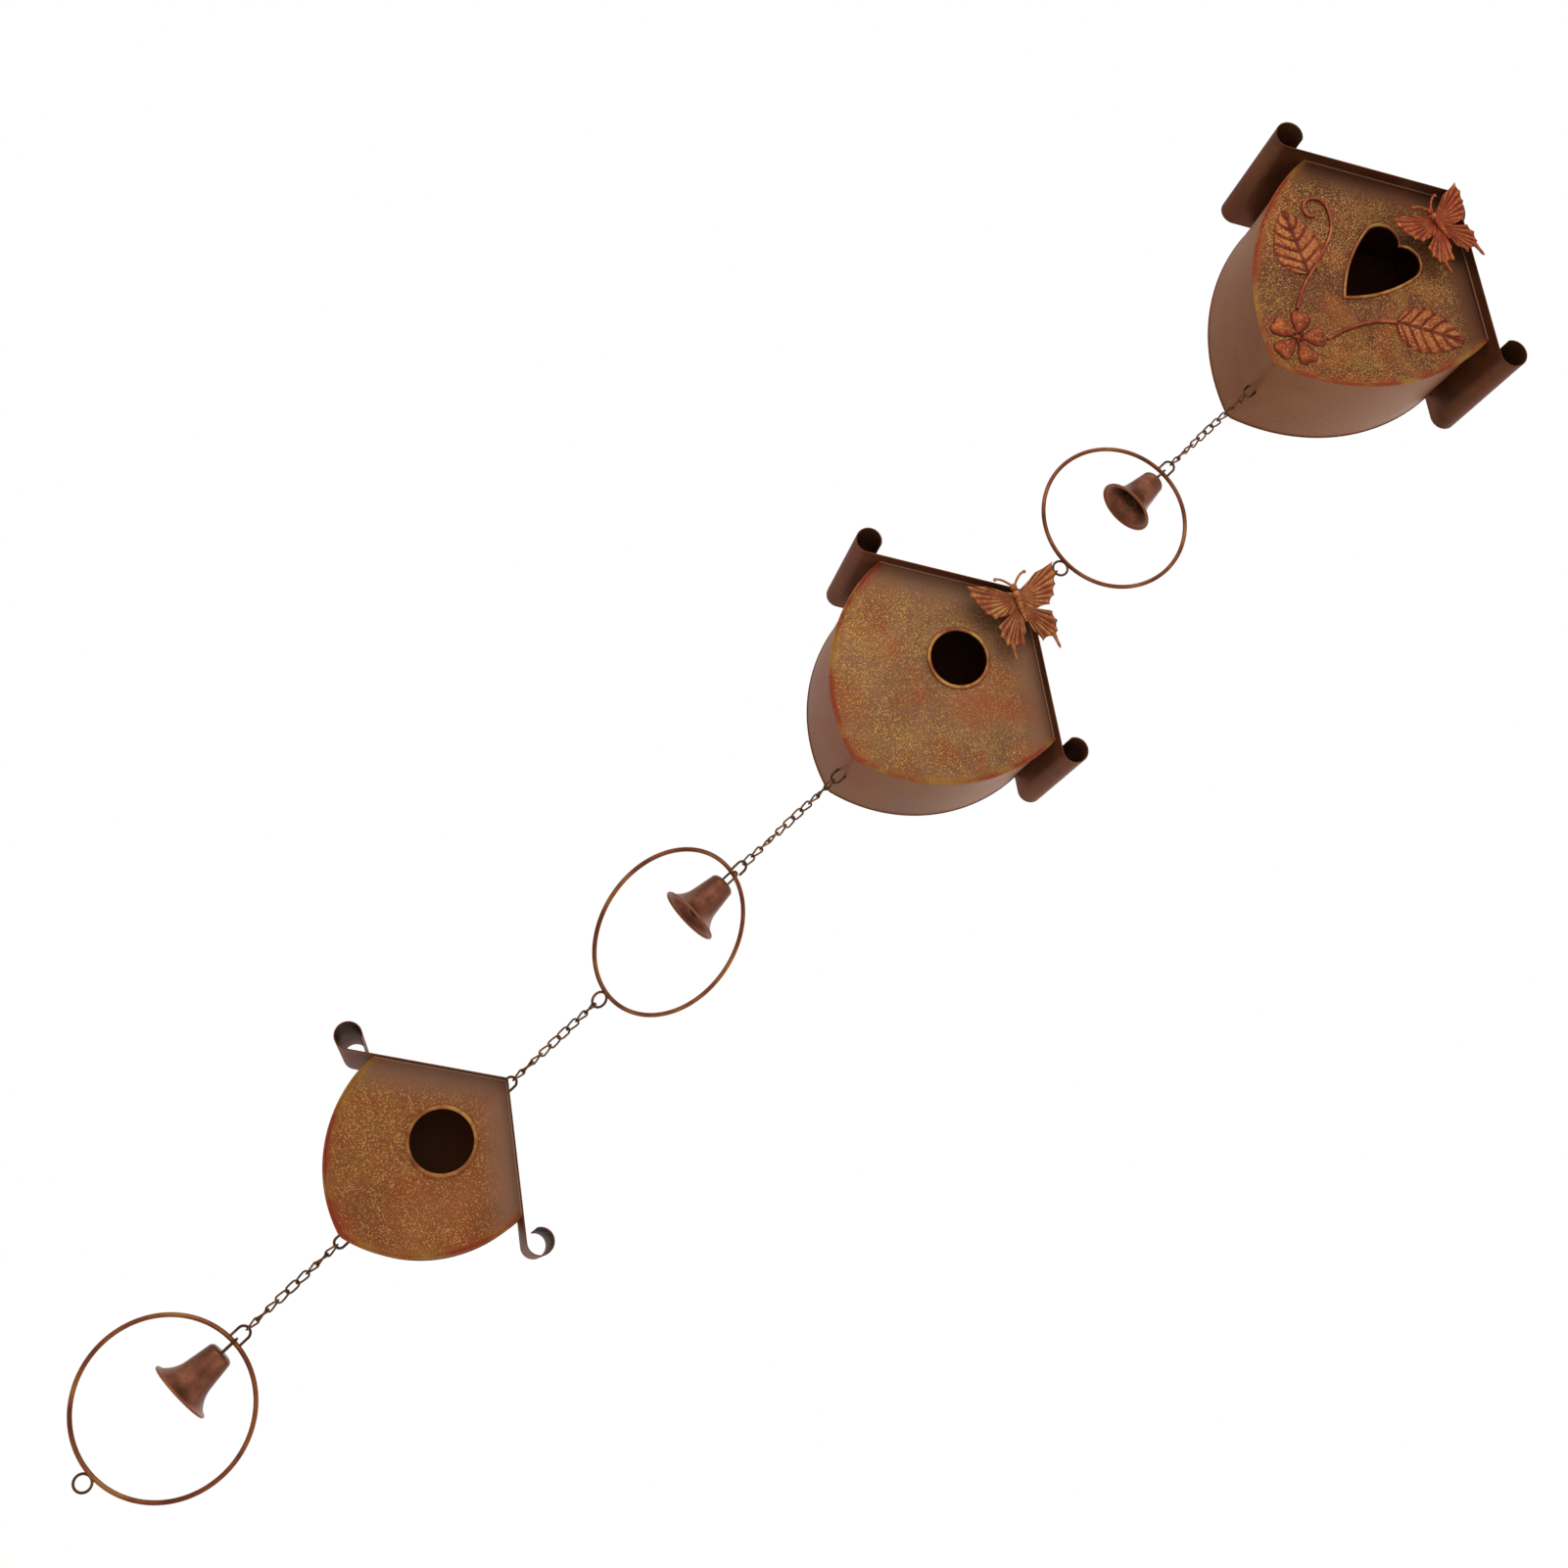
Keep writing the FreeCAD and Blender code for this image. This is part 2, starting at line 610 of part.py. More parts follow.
def chain_link():
    """A twisted link, as a ring of flat-sided wire sections."""
    stations = link_stations()
    count = len(stations)
    rings = []
    for index, point in enumerate(stations):
        tangent = (stations[(index + 1) % count] - stations[index - 1]).normalize()
        outward = point - tangent * point.dot(tangent)
        outward.normalize()
        across = tangent.cross(outward)
        ring = []
        for side in range(LINK_SIDES):
            turn = 2 * math.pi * side / LINK_SIDES
            offset = outward * math.cos(turn) + across * math.sin(turn)
            ring.append(point + offset * LINK_WIRE_RADIUS)
        rings.append(ring)
    faces = []
    for index in range(count):
        ring = rings[index]
        following = rings[(index + 1) % count]
        for side in range(LINK_SIDES):
            other = (side + 1) % LINK_SIDES
            for corners in (
                (ring[side], ring[other], following[other]),
                (ring[side], following[other], following[side]),
            ):
                faces.append(Part.Face(Part.makePolygon(list(corners) + [corners[0]])))
    return Part.Solid(Part.Shell(faces))


def chain_run(name, eye, links, above, below, half_turns):
    """Links from an eye's lowest wire downwards; above and below are the yaws of the two eyes they join."""
    link = chain_link()
    first = above + 90.0 - LINK_TWIST
    last = below + 90.0 + LINK_TWIST + 180.0 * half_turns
    step = (last - first) / (links - 1)
    centre = eye + EYE_TO_LINK - LINK_HALF_LENGTH
    upper = []
    lower = []
    for count in range(links):
        copy = link.copy()
        copy.rotate(FreeCAD.Vector(0, 0, 0), FreeCAD.Vector(0, 0, 1), first + count * step)
        copy.translate(FreeCAD.Vector(0, 0, centre - count * LINK_PITCH))
        (upper if count < UPPER_LINKS else lower).append(copy)
    parts[name + "_upper"] = Part.Compound(upper)
    parts[name + "_lower"] = Part.Compound(lower)
    bend_height = centre - (UPPER_LINKS - 1) * LINK_PITCH - LINK_HALF_LENGTH
    bend_yaw = first + (UPPER_LINKS - 1) * step - LINK_TWIST
    print(name, "bend", round(bend_height, 4), "yaw", round(bend_yaw, 4), "twist a link", round(step, 3))
    return centre - (links - 1) * LINK_PITCH - LINK_HALF_LENGTH + EYE_TO_LINK


def house_pieces(name, house, eave, front_edges, opening):
    """The four sheets of one house, placed at its eave height."""
    front = house.front_plate()
    cut = prism(front_edges, FRONT, FRONT + SHEET) if opening is None else opening
    sheets = {
        "front_plate": front.cut(cut),
        "back_plate": house.back_plate(),
        "side_wrap": house.side_wrap(),
        "roof": house.roof(),
    }
    for piece, shape in sheets.items():
        shape.translate(at(0, eave))
        parts[name + "_" + piece] = shape


def bottom_eye(name, house, eave):
    low = -house.drop - BOTTOM_EYE_LEG - HOUSE_EYE_RADIUS
    shape = arch(at(0, -low), HOUSE_EYE_RADIUS, BOTTOM_EYE_LEG + TIP_RADIUS, EYE_WIRE_RADIUS)
    shape.rotate(FreeCAD.Vector(0, 0, 0), FreeCAD.Vector(0, 1, 0), 180)
    shape = shape.cut(house.filled_body())
    shape.translate(at(0, eave))
    parts[name + "_bottom_eye"] = shape
    print(name, "eave", round(eave, 4), "bottom eye", round(eave + low, 4))
    return eave + low


def top_eye(name, house, top):
    """A house hung by a small arch on its ridge; gives the height of its eave."""
    rise = HOUSE_EYE_RADIUS + TOP_EYE_LEG
    shape = arch(at(0, house.ridge + rise), HOUSE_EYE_RADIUS, 2 * TOP_EYE_LEG, EYE_WIRE_RADIUS)
    shape = shape.cut(house.under_roof())
    eave = top - rise - house.ridge
    shape.translate(at(0, eave))
    parts[name + "_top_eye"] = shape
    return eave


def hoop_and_bell(number, top, radius, yaw, open_end):
    """One hoop with its eyes, and the bell that rides on its top; gives the height of the lower eye."""
    centre = at(0, top - HOOP_EYE_RADIUS - HOOP_EYE_LEG - HOOP_WIRE_RADIUS - radius)
    hoop = Part.makeTorus(radius, HOOP_WIRE_RADIUS, centre, FreeCAD.Vector(0, 1, 0))
    eye = arch(at(0, top), HOOP_EYE_RADIUS, HOOP_EYE_LEG + HOOP_WIRE_RADIUS, EYE_WIRE_RADIUS).cut(hoop)
    hoop_top = centre.z + radius
    if open_end:
        shortened = hoop_top + HOOP_WIRE_RADIUS + open_end
        box = 4 * HOOP_EYE_RADIUS
        corner = FreeCAD.Vector(0, -box / 2, shortened - box)
        eye = eye.cut(Part.makeBox(box, box, box, corner))
    ring_drop = radius + HOOP_WIRE_RADIUS + HOOP_RING_RADIUS - HOOP_RING_SINK
    ring_centre = at(0, centre.z - ring_drop)
    ring = Part.makeTorus(HOOP_RING_RADIUS, EYE_WIRE_RADIUS, ring_centre, FreeCAD.Vector(0, 1, 0)).cut(hoop)
    crown = at(0, hoop_top - HOOP_WIRE_RADIUS - BELL_BELOW_HOOP)
    bar = crown.z - CLAPPER_BAR_DROP
    pieces = {
        "hoop_%d" % number: hoop,
        "hoop_%d_top_eye" % number: eye,
        "hoop_%d_bottom_eye" % number: max(ring.Solids, key=lambda solid: solid.Volume),
        "bell_%d_shell" % number: bell_shell(crown),
        "bell_%d_bail" % number: bail(hoop_top + HOOP_WIRE_RADIUS + CLEARANCE + BAIL_WIRE_RADIUS, bar),
        "bell_%d_clapper" % number: clapper(bar),
    }
    for name, shape in pieces.items():
        shape.rotate(FreeCAD.Vector(0, 0, 0), FreeCAD.Vector(0, 0, 1), yaw)
        parts[name] = shape
    low = ring_centre.z - HOOP_RING_RADIUS
    print("hoop", number, "top eye", round(top, 4), "wire top", round(hoop_top, 4), "bar", round(bar, 4),
          "crown", round(crown.z, 4), "centre", round(centre.z, 4), "bottom eye", round(low, 4))
    return low


def build():
    first = House(HOUSE_1_HALF_WIDTH, HOUSE_1_GABLE, HOUSE_1_DROP, ROOF_RUN_1, SCROLL_RADIUS_1)
    second = House(HOUSE_2_HALF_WIDTH, HOUSE_2_GABLE, HOUSE_2_DROP, ROOF_RUN_2, SCROLL_RADIUS_2)
    third = House(HOUSE_3_HALF_WIDTH, HOUSE_3_GABLE, HOUSE_3_DROP, ROOF_RUN_3, SCROLL_RADIUS_3)

    # House 1 with its hanging loop and the ornaments on its front
    eave = -LOOP_RISE - first.ridge
    house_pieces("house_1", first, eave, heart_edges(RIM_COVER), None)
    loop_leg = LOOP_RISE + LOOP_RADIUS
    loop = arch(at(0, LOOP_WIRE_RADIUS - eave), LOOP_RADIUS, loop_leg, LOOP_WIRE_RADIUS)
    loop = loop.cut(first.under_roof())
    loop.translate(at(0, eave))
    parts["hanging_loop"] = loop

    def on_front(place, depth=0.0):
        across, down = place
        return at(across * first.half_width, down * first.drop, depth)

    def vine(places, heading, radius):
        start, *points = [on_front(place, FRONT - VINE_RADIUS - SOLDER_GAP / 2) for place in places]
        wire, _ = tangent_wire(start, heading, points, radius)
        return wire

    # The left leaf lies against its vine and is notched to clear it
    notch = vine(VINE_LEFT_PLACES, VINE_LEFT_HEADING, VINE_RADIUS + SOLDER_GAP)
    left_leaf = leaf(on_front(LEAF_LEFT_PLACE), LEAF_LEFT_HEADING).cut(notch)
    ornaments = {
        "heart_rim": heart_rim(),
        "vine_left": vine(VINE_LEFT_PLACES, VINE_LEFT_HEADING, VINE_RADIUS),
        "vine_right": vine(VINE_RIGHT_PLACES, VINE_RIGHT_HEADING, VINE_RADIUS),
        "leaf_left": max(left_leaf.Solids, key=lambda solid: solid.Volume),
        "leaf_right": leaf(on_front(LEAF_RIGHT_PLACE), LEAF_RIGHT_HEADING),
        "flower": flower(on_front(FLOWER_PLACE)),
        "house_1_butterfly": butterfly(first.gable, BUTTERFLY_1_SIDE, BUTTERFLY_1_BELOW_APEX, BUTTERFLY_1_TURN),
    }
    for name, shape in ornaments.items():
        shape.translate(at(0, eave))
        parts[name] = shape
    hang = bottom_eye("house_1", first, eave)

    # Hoop 1 and its bell
    hang = chain_run("chain_1", hang, CHAIN_1_LINKS, 0, 0, HALF_TURNS[0])
    hang = hoop_and_bell(1, hang, HOOP_RADIUS, 0, 0)

    # House 2
    hang = chain_run("chain_2", hang, CHAIN_2_LINKS, 0, 0, HALF_TURNS[1])
    eave = top_eye("house_2", second, hang)
    opening = at(0, -OPENING_DROP_2)
    hole = disc(opening, OPENING_RADIUS + RIM_COVER, FRONT, FRONT + SHEET)
    house_pieces("house_2", second, eave, None, hole)
    rim = round_rim(opening)
    guest = butterfly(second.gable, BUTTERFLY_2_SIDE, BUTTERFLY_2_BELOW_APEX, BUTTERFLY_2_TURN)
    for name, shape in (("house_2_rim", rim), ("house_2_butterfly", guest)):
        shape.translate(at(0, eave))
        parts[name] = shape
    hang = bottom_eye("house_2", second, eave)

    # Hoop 2 and its bell
    hang = chain_run("chain_3", hang, CHAIN_3_LINKS, 0, HOOP_2_YAW, HALF_TURNS[2])
    hang = hoop_and_bell(2, hang, HOOP_2_RADIUS, HOOP_2_YAW, HOOP_EYE_OPEN_END)

    # House 3
    hang = chain_run("chain_4", hang, CHAIN_4_LINKS, HOOP_2_YAW, 0, HALF_TURNS[3])
    eave = top_eye("house_3", third, hang)
    opening = at(0, -OPENING_DROP_3)
    hole = disc(opening, OPENING_RADIUS + RIM_COVER, FRONT, FRONT + SHEET)
    house_pieces("house_3", third, eave, None, hole)
    rim = round_rim(opening)
    rim.translate(at(0, eave))
    parts["house_3_rim"] = rim
    hang = bottom_eye("house_3", third, eave)

    # Hoop 3 and its bell
    hang = chain_run("chain_5", hang, CHAIN_5_LINKS, 0, 0, HALF_TURNS[4])
    hoop_and_bell(3, hang, HOOP_RADIUS, 0, 0)


build()
os.makedirs("parts", exist_ok=True)
for node, shape in parts.items():
    solids = shape.Solids
    kept = solids[0] if len(solids) == 1 else Part.Compound(solids)
    kept.exportStep(os.path.join("parts", node + ".step"))
    print(node, len(solids), "solids", round(shape.Volume, 3), "mm3", "valid" if kept.isValid() else "INVALID")
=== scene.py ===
"""Rain chain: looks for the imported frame, laid out as an add-on and run as a script."""

import math

import bmesh
import bpy
from bpy.props import FloatProperty, FloatVectorProperty, IntProperty, PointerProperty
from mathutils import Euler, Matrix, Vector


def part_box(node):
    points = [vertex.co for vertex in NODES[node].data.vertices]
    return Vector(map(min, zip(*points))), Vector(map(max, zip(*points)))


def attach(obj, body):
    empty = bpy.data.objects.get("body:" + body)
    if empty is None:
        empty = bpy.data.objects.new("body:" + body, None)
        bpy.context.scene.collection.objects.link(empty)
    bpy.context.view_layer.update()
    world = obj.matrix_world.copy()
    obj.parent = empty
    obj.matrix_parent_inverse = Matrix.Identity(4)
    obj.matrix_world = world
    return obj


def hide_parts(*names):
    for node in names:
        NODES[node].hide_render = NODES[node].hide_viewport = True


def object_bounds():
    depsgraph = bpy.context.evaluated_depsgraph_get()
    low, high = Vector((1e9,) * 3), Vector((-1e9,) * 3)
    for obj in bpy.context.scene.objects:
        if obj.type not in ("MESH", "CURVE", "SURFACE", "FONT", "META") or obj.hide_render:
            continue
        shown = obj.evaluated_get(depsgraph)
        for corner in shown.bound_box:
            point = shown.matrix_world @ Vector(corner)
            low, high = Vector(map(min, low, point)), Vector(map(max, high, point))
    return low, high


bl_info = {
    "name": "Rain Chain",
    "version": (1, 0, 0),
    "blender": (4, 5, 0),
    "location": "View3D > Sidebar > Rain Chain",
    "description": "Dresses a rain chain of birdhouses, hoops and bells in flamed copper and dark bronze",
    "category": "Object",
}

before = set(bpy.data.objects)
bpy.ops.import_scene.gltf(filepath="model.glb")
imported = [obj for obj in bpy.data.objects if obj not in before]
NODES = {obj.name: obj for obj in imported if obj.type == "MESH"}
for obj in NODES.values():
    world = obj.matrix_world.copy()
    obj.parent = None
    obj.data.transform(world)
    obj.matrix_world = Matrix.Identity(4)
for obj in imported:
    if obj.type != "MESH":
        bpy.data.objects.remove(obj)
CAD_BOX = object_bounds()
MM = 0.001

# Half width, gable and drop of each house, in millimetres
HOUSES = {
    "house_1": (83.0, 57.0, 122.0),
    "house_2": (73.0, 50.0, 95.0),
    "house_3": (57.0, 41.5, 72.5),
}

# Plain band under each roof; the large house's band is darker, with painted shadow of its roof
BANDS = {"house_1": "#63402c", "house_2": "#7f5c46", "house_3": "#8a6852"}

# Links, yaw of the eye above, yaw of the eye below and half turns of each run of chain
RUNS = {
    "chain_1": (11, 0.0, 0.0, 1),
    "chain_2": (6, 0.0, 0.0, 0),
    "chain_3": (11, 0.0, 42.0, 1),
    "chain_4": (9, 42.0, 0.0, 1),
    "chain_5": (9, 0.0, 0.0, 1),
}
UPPER_LINKS = 4
LINK_SIDES = 8
LINK_ARC_STEPS = 8

# Sheet, the rounded tip of a house's foot and the gap that solder fills, in millimetres
SHEET = 0.6
TIP_RADIUS = 8.0
SOLDER_GAP = 0.1

# Butterflies: right of the ridge, below the apex and heading
BUTTERFLIES = {"house_1": (6.6, 27.6, 168.7), "house_2": (0.6, 9.3, 154.6)}
WING_REACH = 28.0
WING_ROWS = 14
WING_ROOT_SHARE = 0.04
SCALLOP_STEPS = 8
FEELER_STEPS = 9

# Wings: root, corners from the front root round to the rear root, bulge between each two corners, and ribs
FOREWING = (
    (1.5, 0.4),
    [(6.0, 1.0), (14.5, 16.0), (17.5, 28.0), (10.5, 27.5), (4.0, 25.0), (-2.0, 22.0), (-6.5, 17.5), (-6.5, 10.0),
     (-3.0, 0.0)],
    (0.4, 0.3, 1.0, 1.0, 1.0, 1.0, 0.6, 0.0), 11,
)
HINDWING = (
    (-2.5, 0.3),
    [(-1.0, 0.2), (-6.0, 8.0), (-11.0, 17.5), (-17.0, 18.5), (-23.0, 16.5), (-25.2, 14.2), (-25.0, 11.5),
     (-26.5, 6.0), (-19.0, 2.5), (-8.0, 0.2)],
    (0.0, 0.5, 1.0, 1.0, 0.3, 0.0, 1.0, 0.6, 0.0), 9,
)

# Head, chest and segments of a butterfly's body: place along it, radius and shade
BODY_SEGMENTS = (
    (9.2, 2.25, 0.7), (4.6, 2.8, 0.75), (0.8, 2.3, 0.6), (-1.6, 2.1, 0.7), (-3.8, 1.95, 0.6), (-6.0, 1.75, 0.7),
    (-8.2, 1.5, 0.6), (-10.3, 1.25, 0.7), (-12.0, 0.95, 0.6),
)
TAIL_RADII = (1.5, 1.3, 1.05, 0.95, 1.0, 0.4)

# Leaves: right of the middle, above the eave and heading
LEAVES = {"leaf_left": (-26.5, -58.5, 153.3), "leaf_right": (34.6, -37.6, 33.0)}
LEAF_LENGTH = 46.5
LEAF_HALF_WIDTH = 16.6
LEAF_TEETH = 15
LEAF_STEPS = (120, 36)

# Flower: right of the middle and above the eave; its petals' flanks as share of the reach and width
FLOWER = (-1.6, -97.5)
FLOWER_RADIUS = 19.0
PETALS = 5
PETAL_TURN = 52.0
PETAL_LOBE = 3.7
PETAL_LOBE_SPREAD = 11.5
PETAL_NOTCH = 18.0
PETAL_FLANKS = ((0.85, 1.14), (0.68, 1.22), (0.5, 1.2), (0.34, 1.1), (0.2, 1.0))
PETAL_RINGS = 10
PETAL_STEPS = 14
STAMEN_TURN = 0.63
STAMEN = ((0.8, 0.6), (2.2, 0.55), (3.6, 0.5), (4.8, 0.3))

# Heart: radius and centre of a lobe, where its side leaves the lobe in degrees, and its point below the eave; its
# wire's inner edge, outer edge and height
HEART_LOBE_RADIUS = 11.2
HEART_LOBE = (9.6, -2.0)
HEART_LEAVE = 7.0
HEART_POINT = -50.0
HEART_WIRE = (0.1, 2.5, 1.6)
HEART_LOBE_STEPS = 28
HEART_SIDE_STEPS = 24
HEART_WIRE_STEPS = 8

# Radius of the bead along a front's foot, and steps along its side and round its tip
FOOT_BEAD = 0.75
FOOT_SIDE_STEPS = 40
FOOT_TIP_STEPS = 12

# Bronze of the eyes and bails: dark, middle and bright colour, length of a stretch, roughness and metallic share
EYE_WIRE = ("#35200f", "#4d2f1a", "#6b4729", 6.0, 0.40, 0.7)

# Stage: floor's half size in metres, light from all round, lift of the floor to white, and the camera's frame
FLOOR_HALF_SIZE = 1.0
ROOM_LIGHT = 0.6
FLOOR_LIFT = 0.38
SENSOR_WIDTH = 36.0

# Lamps: place and target in metres, size in metres and power in watts
LAMPS = {
    "key": ((-0.9, -1.5, 0.35), (0.0, 0.0, -0.5), 1.6, 14.0),
    "fill": ((1.3, -1.2, -0.9), (0.0, 0.0, -0.6), 1.6, 3.5),
    "rear": ((0.6, 1.4, 0.3), (0.0, 0.0, -0.5), 1.6, 7.0),
}


def linear(code):
    """An sRGB hex colour as linear RGBA."""
    channels = [int(code[index:index + 2], 16) / 255 for index in (1, 3, 5)]
    return [c / 12.92 if c <= 0.04045 else ((c + 0.055) / 1.055) ** 2.4 for c in channels] + [1.0]


class HouseSettings(bpy.types.PropertyGroup):
    """Finish of the sheet-metal houses."""

    stipple_spacing: FloatProperty(
        name="Stipple spacing", description="Distance between the raised flecks of the fronts, in millimetres",
        default=0.8, min=0.5, max=6.0,
    )
    house_1_ground: FloatVectorProperty(
        name="Large front", description="Ground colour of the large house's front", subtype="COLOR", size=4,
        default=linear("#5f3422"), min=0.0, max=1.0,
    )
    house_2_ground: FloatVectorProperty(
        name="Middle front", description="Ground colour of the middle house's front", subtype="COLOR", size=4,
        default=linear("#7f573e"), min=0.0, max=1.0,
    )
    house_3_ground: FloatVectorProperty(
        name="Small front", description="Ground colour of the small house's front", subtype="COLOR", size=4,
        default=linear("#814629"), min=0.0, max=1.0,
    )
    front_gold: FloatVectorProperty(
        name="Front gold", description="Colour of the rubbed flecks", subtype="COLOR", size=4,
        default=linear("#b98848"), min=0.0, max=1.0,
    )


class OrnamentSettings(bpy.types.PropertyGroup):
    """Relief of the castings."""

    rib_height: FloatProperty(
        name="Rib height", description="Height of the wing ribs, in millimetres", default=0.45, min=0.0, max=2.0
    )
    wing_curl: FloatProperty(
        name="Wing curl", description="How far the wing tips stand forward, in millimetres", default=2.4,
        min=0.0, max=8.0,
    )
    vein_count: IntProperty(
        name="Leaf veins", description="Side veins on each half of a leaf", default=5, min=2, max=10
    )


class ChainSettings(bpy.types.PropertyGroup):
    """Size of a curb link."""

    wire_radius: FloatProperty(
        name="Wire radius", description="Radius of the link wire", unit="LENGTH", default=0.58 * MM, precision=5
    )
    half_length: FloatProperty(
        name="Half length", description="From a link's middle to its end's wire", unit="LENGTH", default=4.0 * MM,
        precision=5,
    )
    half_width: FloatProperty(
        name="Half width", description="From a link's middle to its side's wire", unit="LENGTH", default=1.95 * MM,
        precision=5,
    )
    twist: FloatProperty(
        name="Twist", description="Turn of each end about the link's length", subtype="ANGLE",
        default=math.radians(30.0),
    )
    gap: FloatProperty(
        name="Gap", description="Room between two links that pull on each other", unit="LENGTH", default=0.12 * MM,
        precision=5,
    )


class StageSettings(bpy.types.PropertyGroup):
    """Camera and floor."""

    camera_place: FloatVectorProperty(
        name="Camera", description="Where the camera stands", subtype="TRANSLATION", unit="LENGTH",
        default=(0.0615, -1.0819, -0.96143),
    )
    camera_turn: FloatVectorProperty(
        name="Camera turn", description="Euler angles of the camera", subtype="EULER",
        default=(math.radians(114.149), math.radians(-44.558), math.radians(-13.243)),
    )
    lens: FloatProperty(name="Lens", description="Focal length in millimetres on a 36 mm frame", default=44.57)
    floor_drop: FloatProperty(
        name="Floor drop", description="From the lowest eye down to the floor", unit="LENGTH", default=0.25
    )


def node(tree, kind, inputs=None, stops=None, **settings):
    """Adds one node: settings are its properties, inputs its sockets' values or the sockets linked to them."""
    made = tree.nodes.new(kind)
    for name, value in settings.items():
        setattr(made, name, value)
    for socket, value in (inputs or {}).items():
        if isinstance(value, bpy.types.NodeSocket):
            tree.links.new(value, made.inputs[socket])
        else:
            made.inputs[socket].default_value = value
    if stops:
        elements = made.color_ramp.elements
        while len(elements) < len(stops):
            elements.new(0.5)
        for element, (place, colour) in zip(elements, stops):
            element.position = place
            element.color = colour
    return made


def new_material(name):
    """An empty material and its node tree."""
    material = bpy.data.materials.new(name)
    material.use_nodes = True
    tree = material.node_tree
    tree.nodes.clear()
    return material, tree


def side_arc(half_width, drop):
    """Radius of the arc from an eave down to the rounded tip of the foot, in millimetres."""
    return (half_width**2 + (drop - TIP_RADIUS) ** 2 - TIP_RADIUS**2) / (2 * (half_width - TIP_RADIUS))


def seen_directly(tree):
    """1 for camera, transmission and glossy rays, 0 for the light that falls on things."""
    path = node(tree, "ShaderNodeLightPath")
    clear = node(tree, "ShaderNodeMath", {
        0: path.outputs["Is Camera Ray"], 1: path.outputs["Is Transmission Ray"],
    }, operation="MAXIMUM").outputs[0]
    return node(tree, "ShaderNodeMath", {
        0: clear, 1: path.outputs["Is Glossy Ray"],
    }, operation="MAXIMUM").outputs[0]


def finish(tree, colour, roughness, metallic, bump_height, bump_distance, bump_strength=1.0, glance="#ffffff"):
    """The shader that every finish here ends in; a thick oxide skin tints its glancing reflections brown."""
    bump = node(tree, "ShaderNodeBump", {
        "Height": bump_height, "Distance": bump_distance, "Strength": bump_strength,
    })
    shader = node(tree, "ShaderNodeBsdfPrincipled", {
        "Base Color": colour, "Roughness": roughness, "Metallic": metallic, "Specular IOR Level": 0.2,
        "Specular Tint": linear(glance), "Normal": bump.outputs["Normal"],
    })
    node(tree, "ShaderNodeOutputMaterial", {"Surface": shader.outputs["BSDF"]})


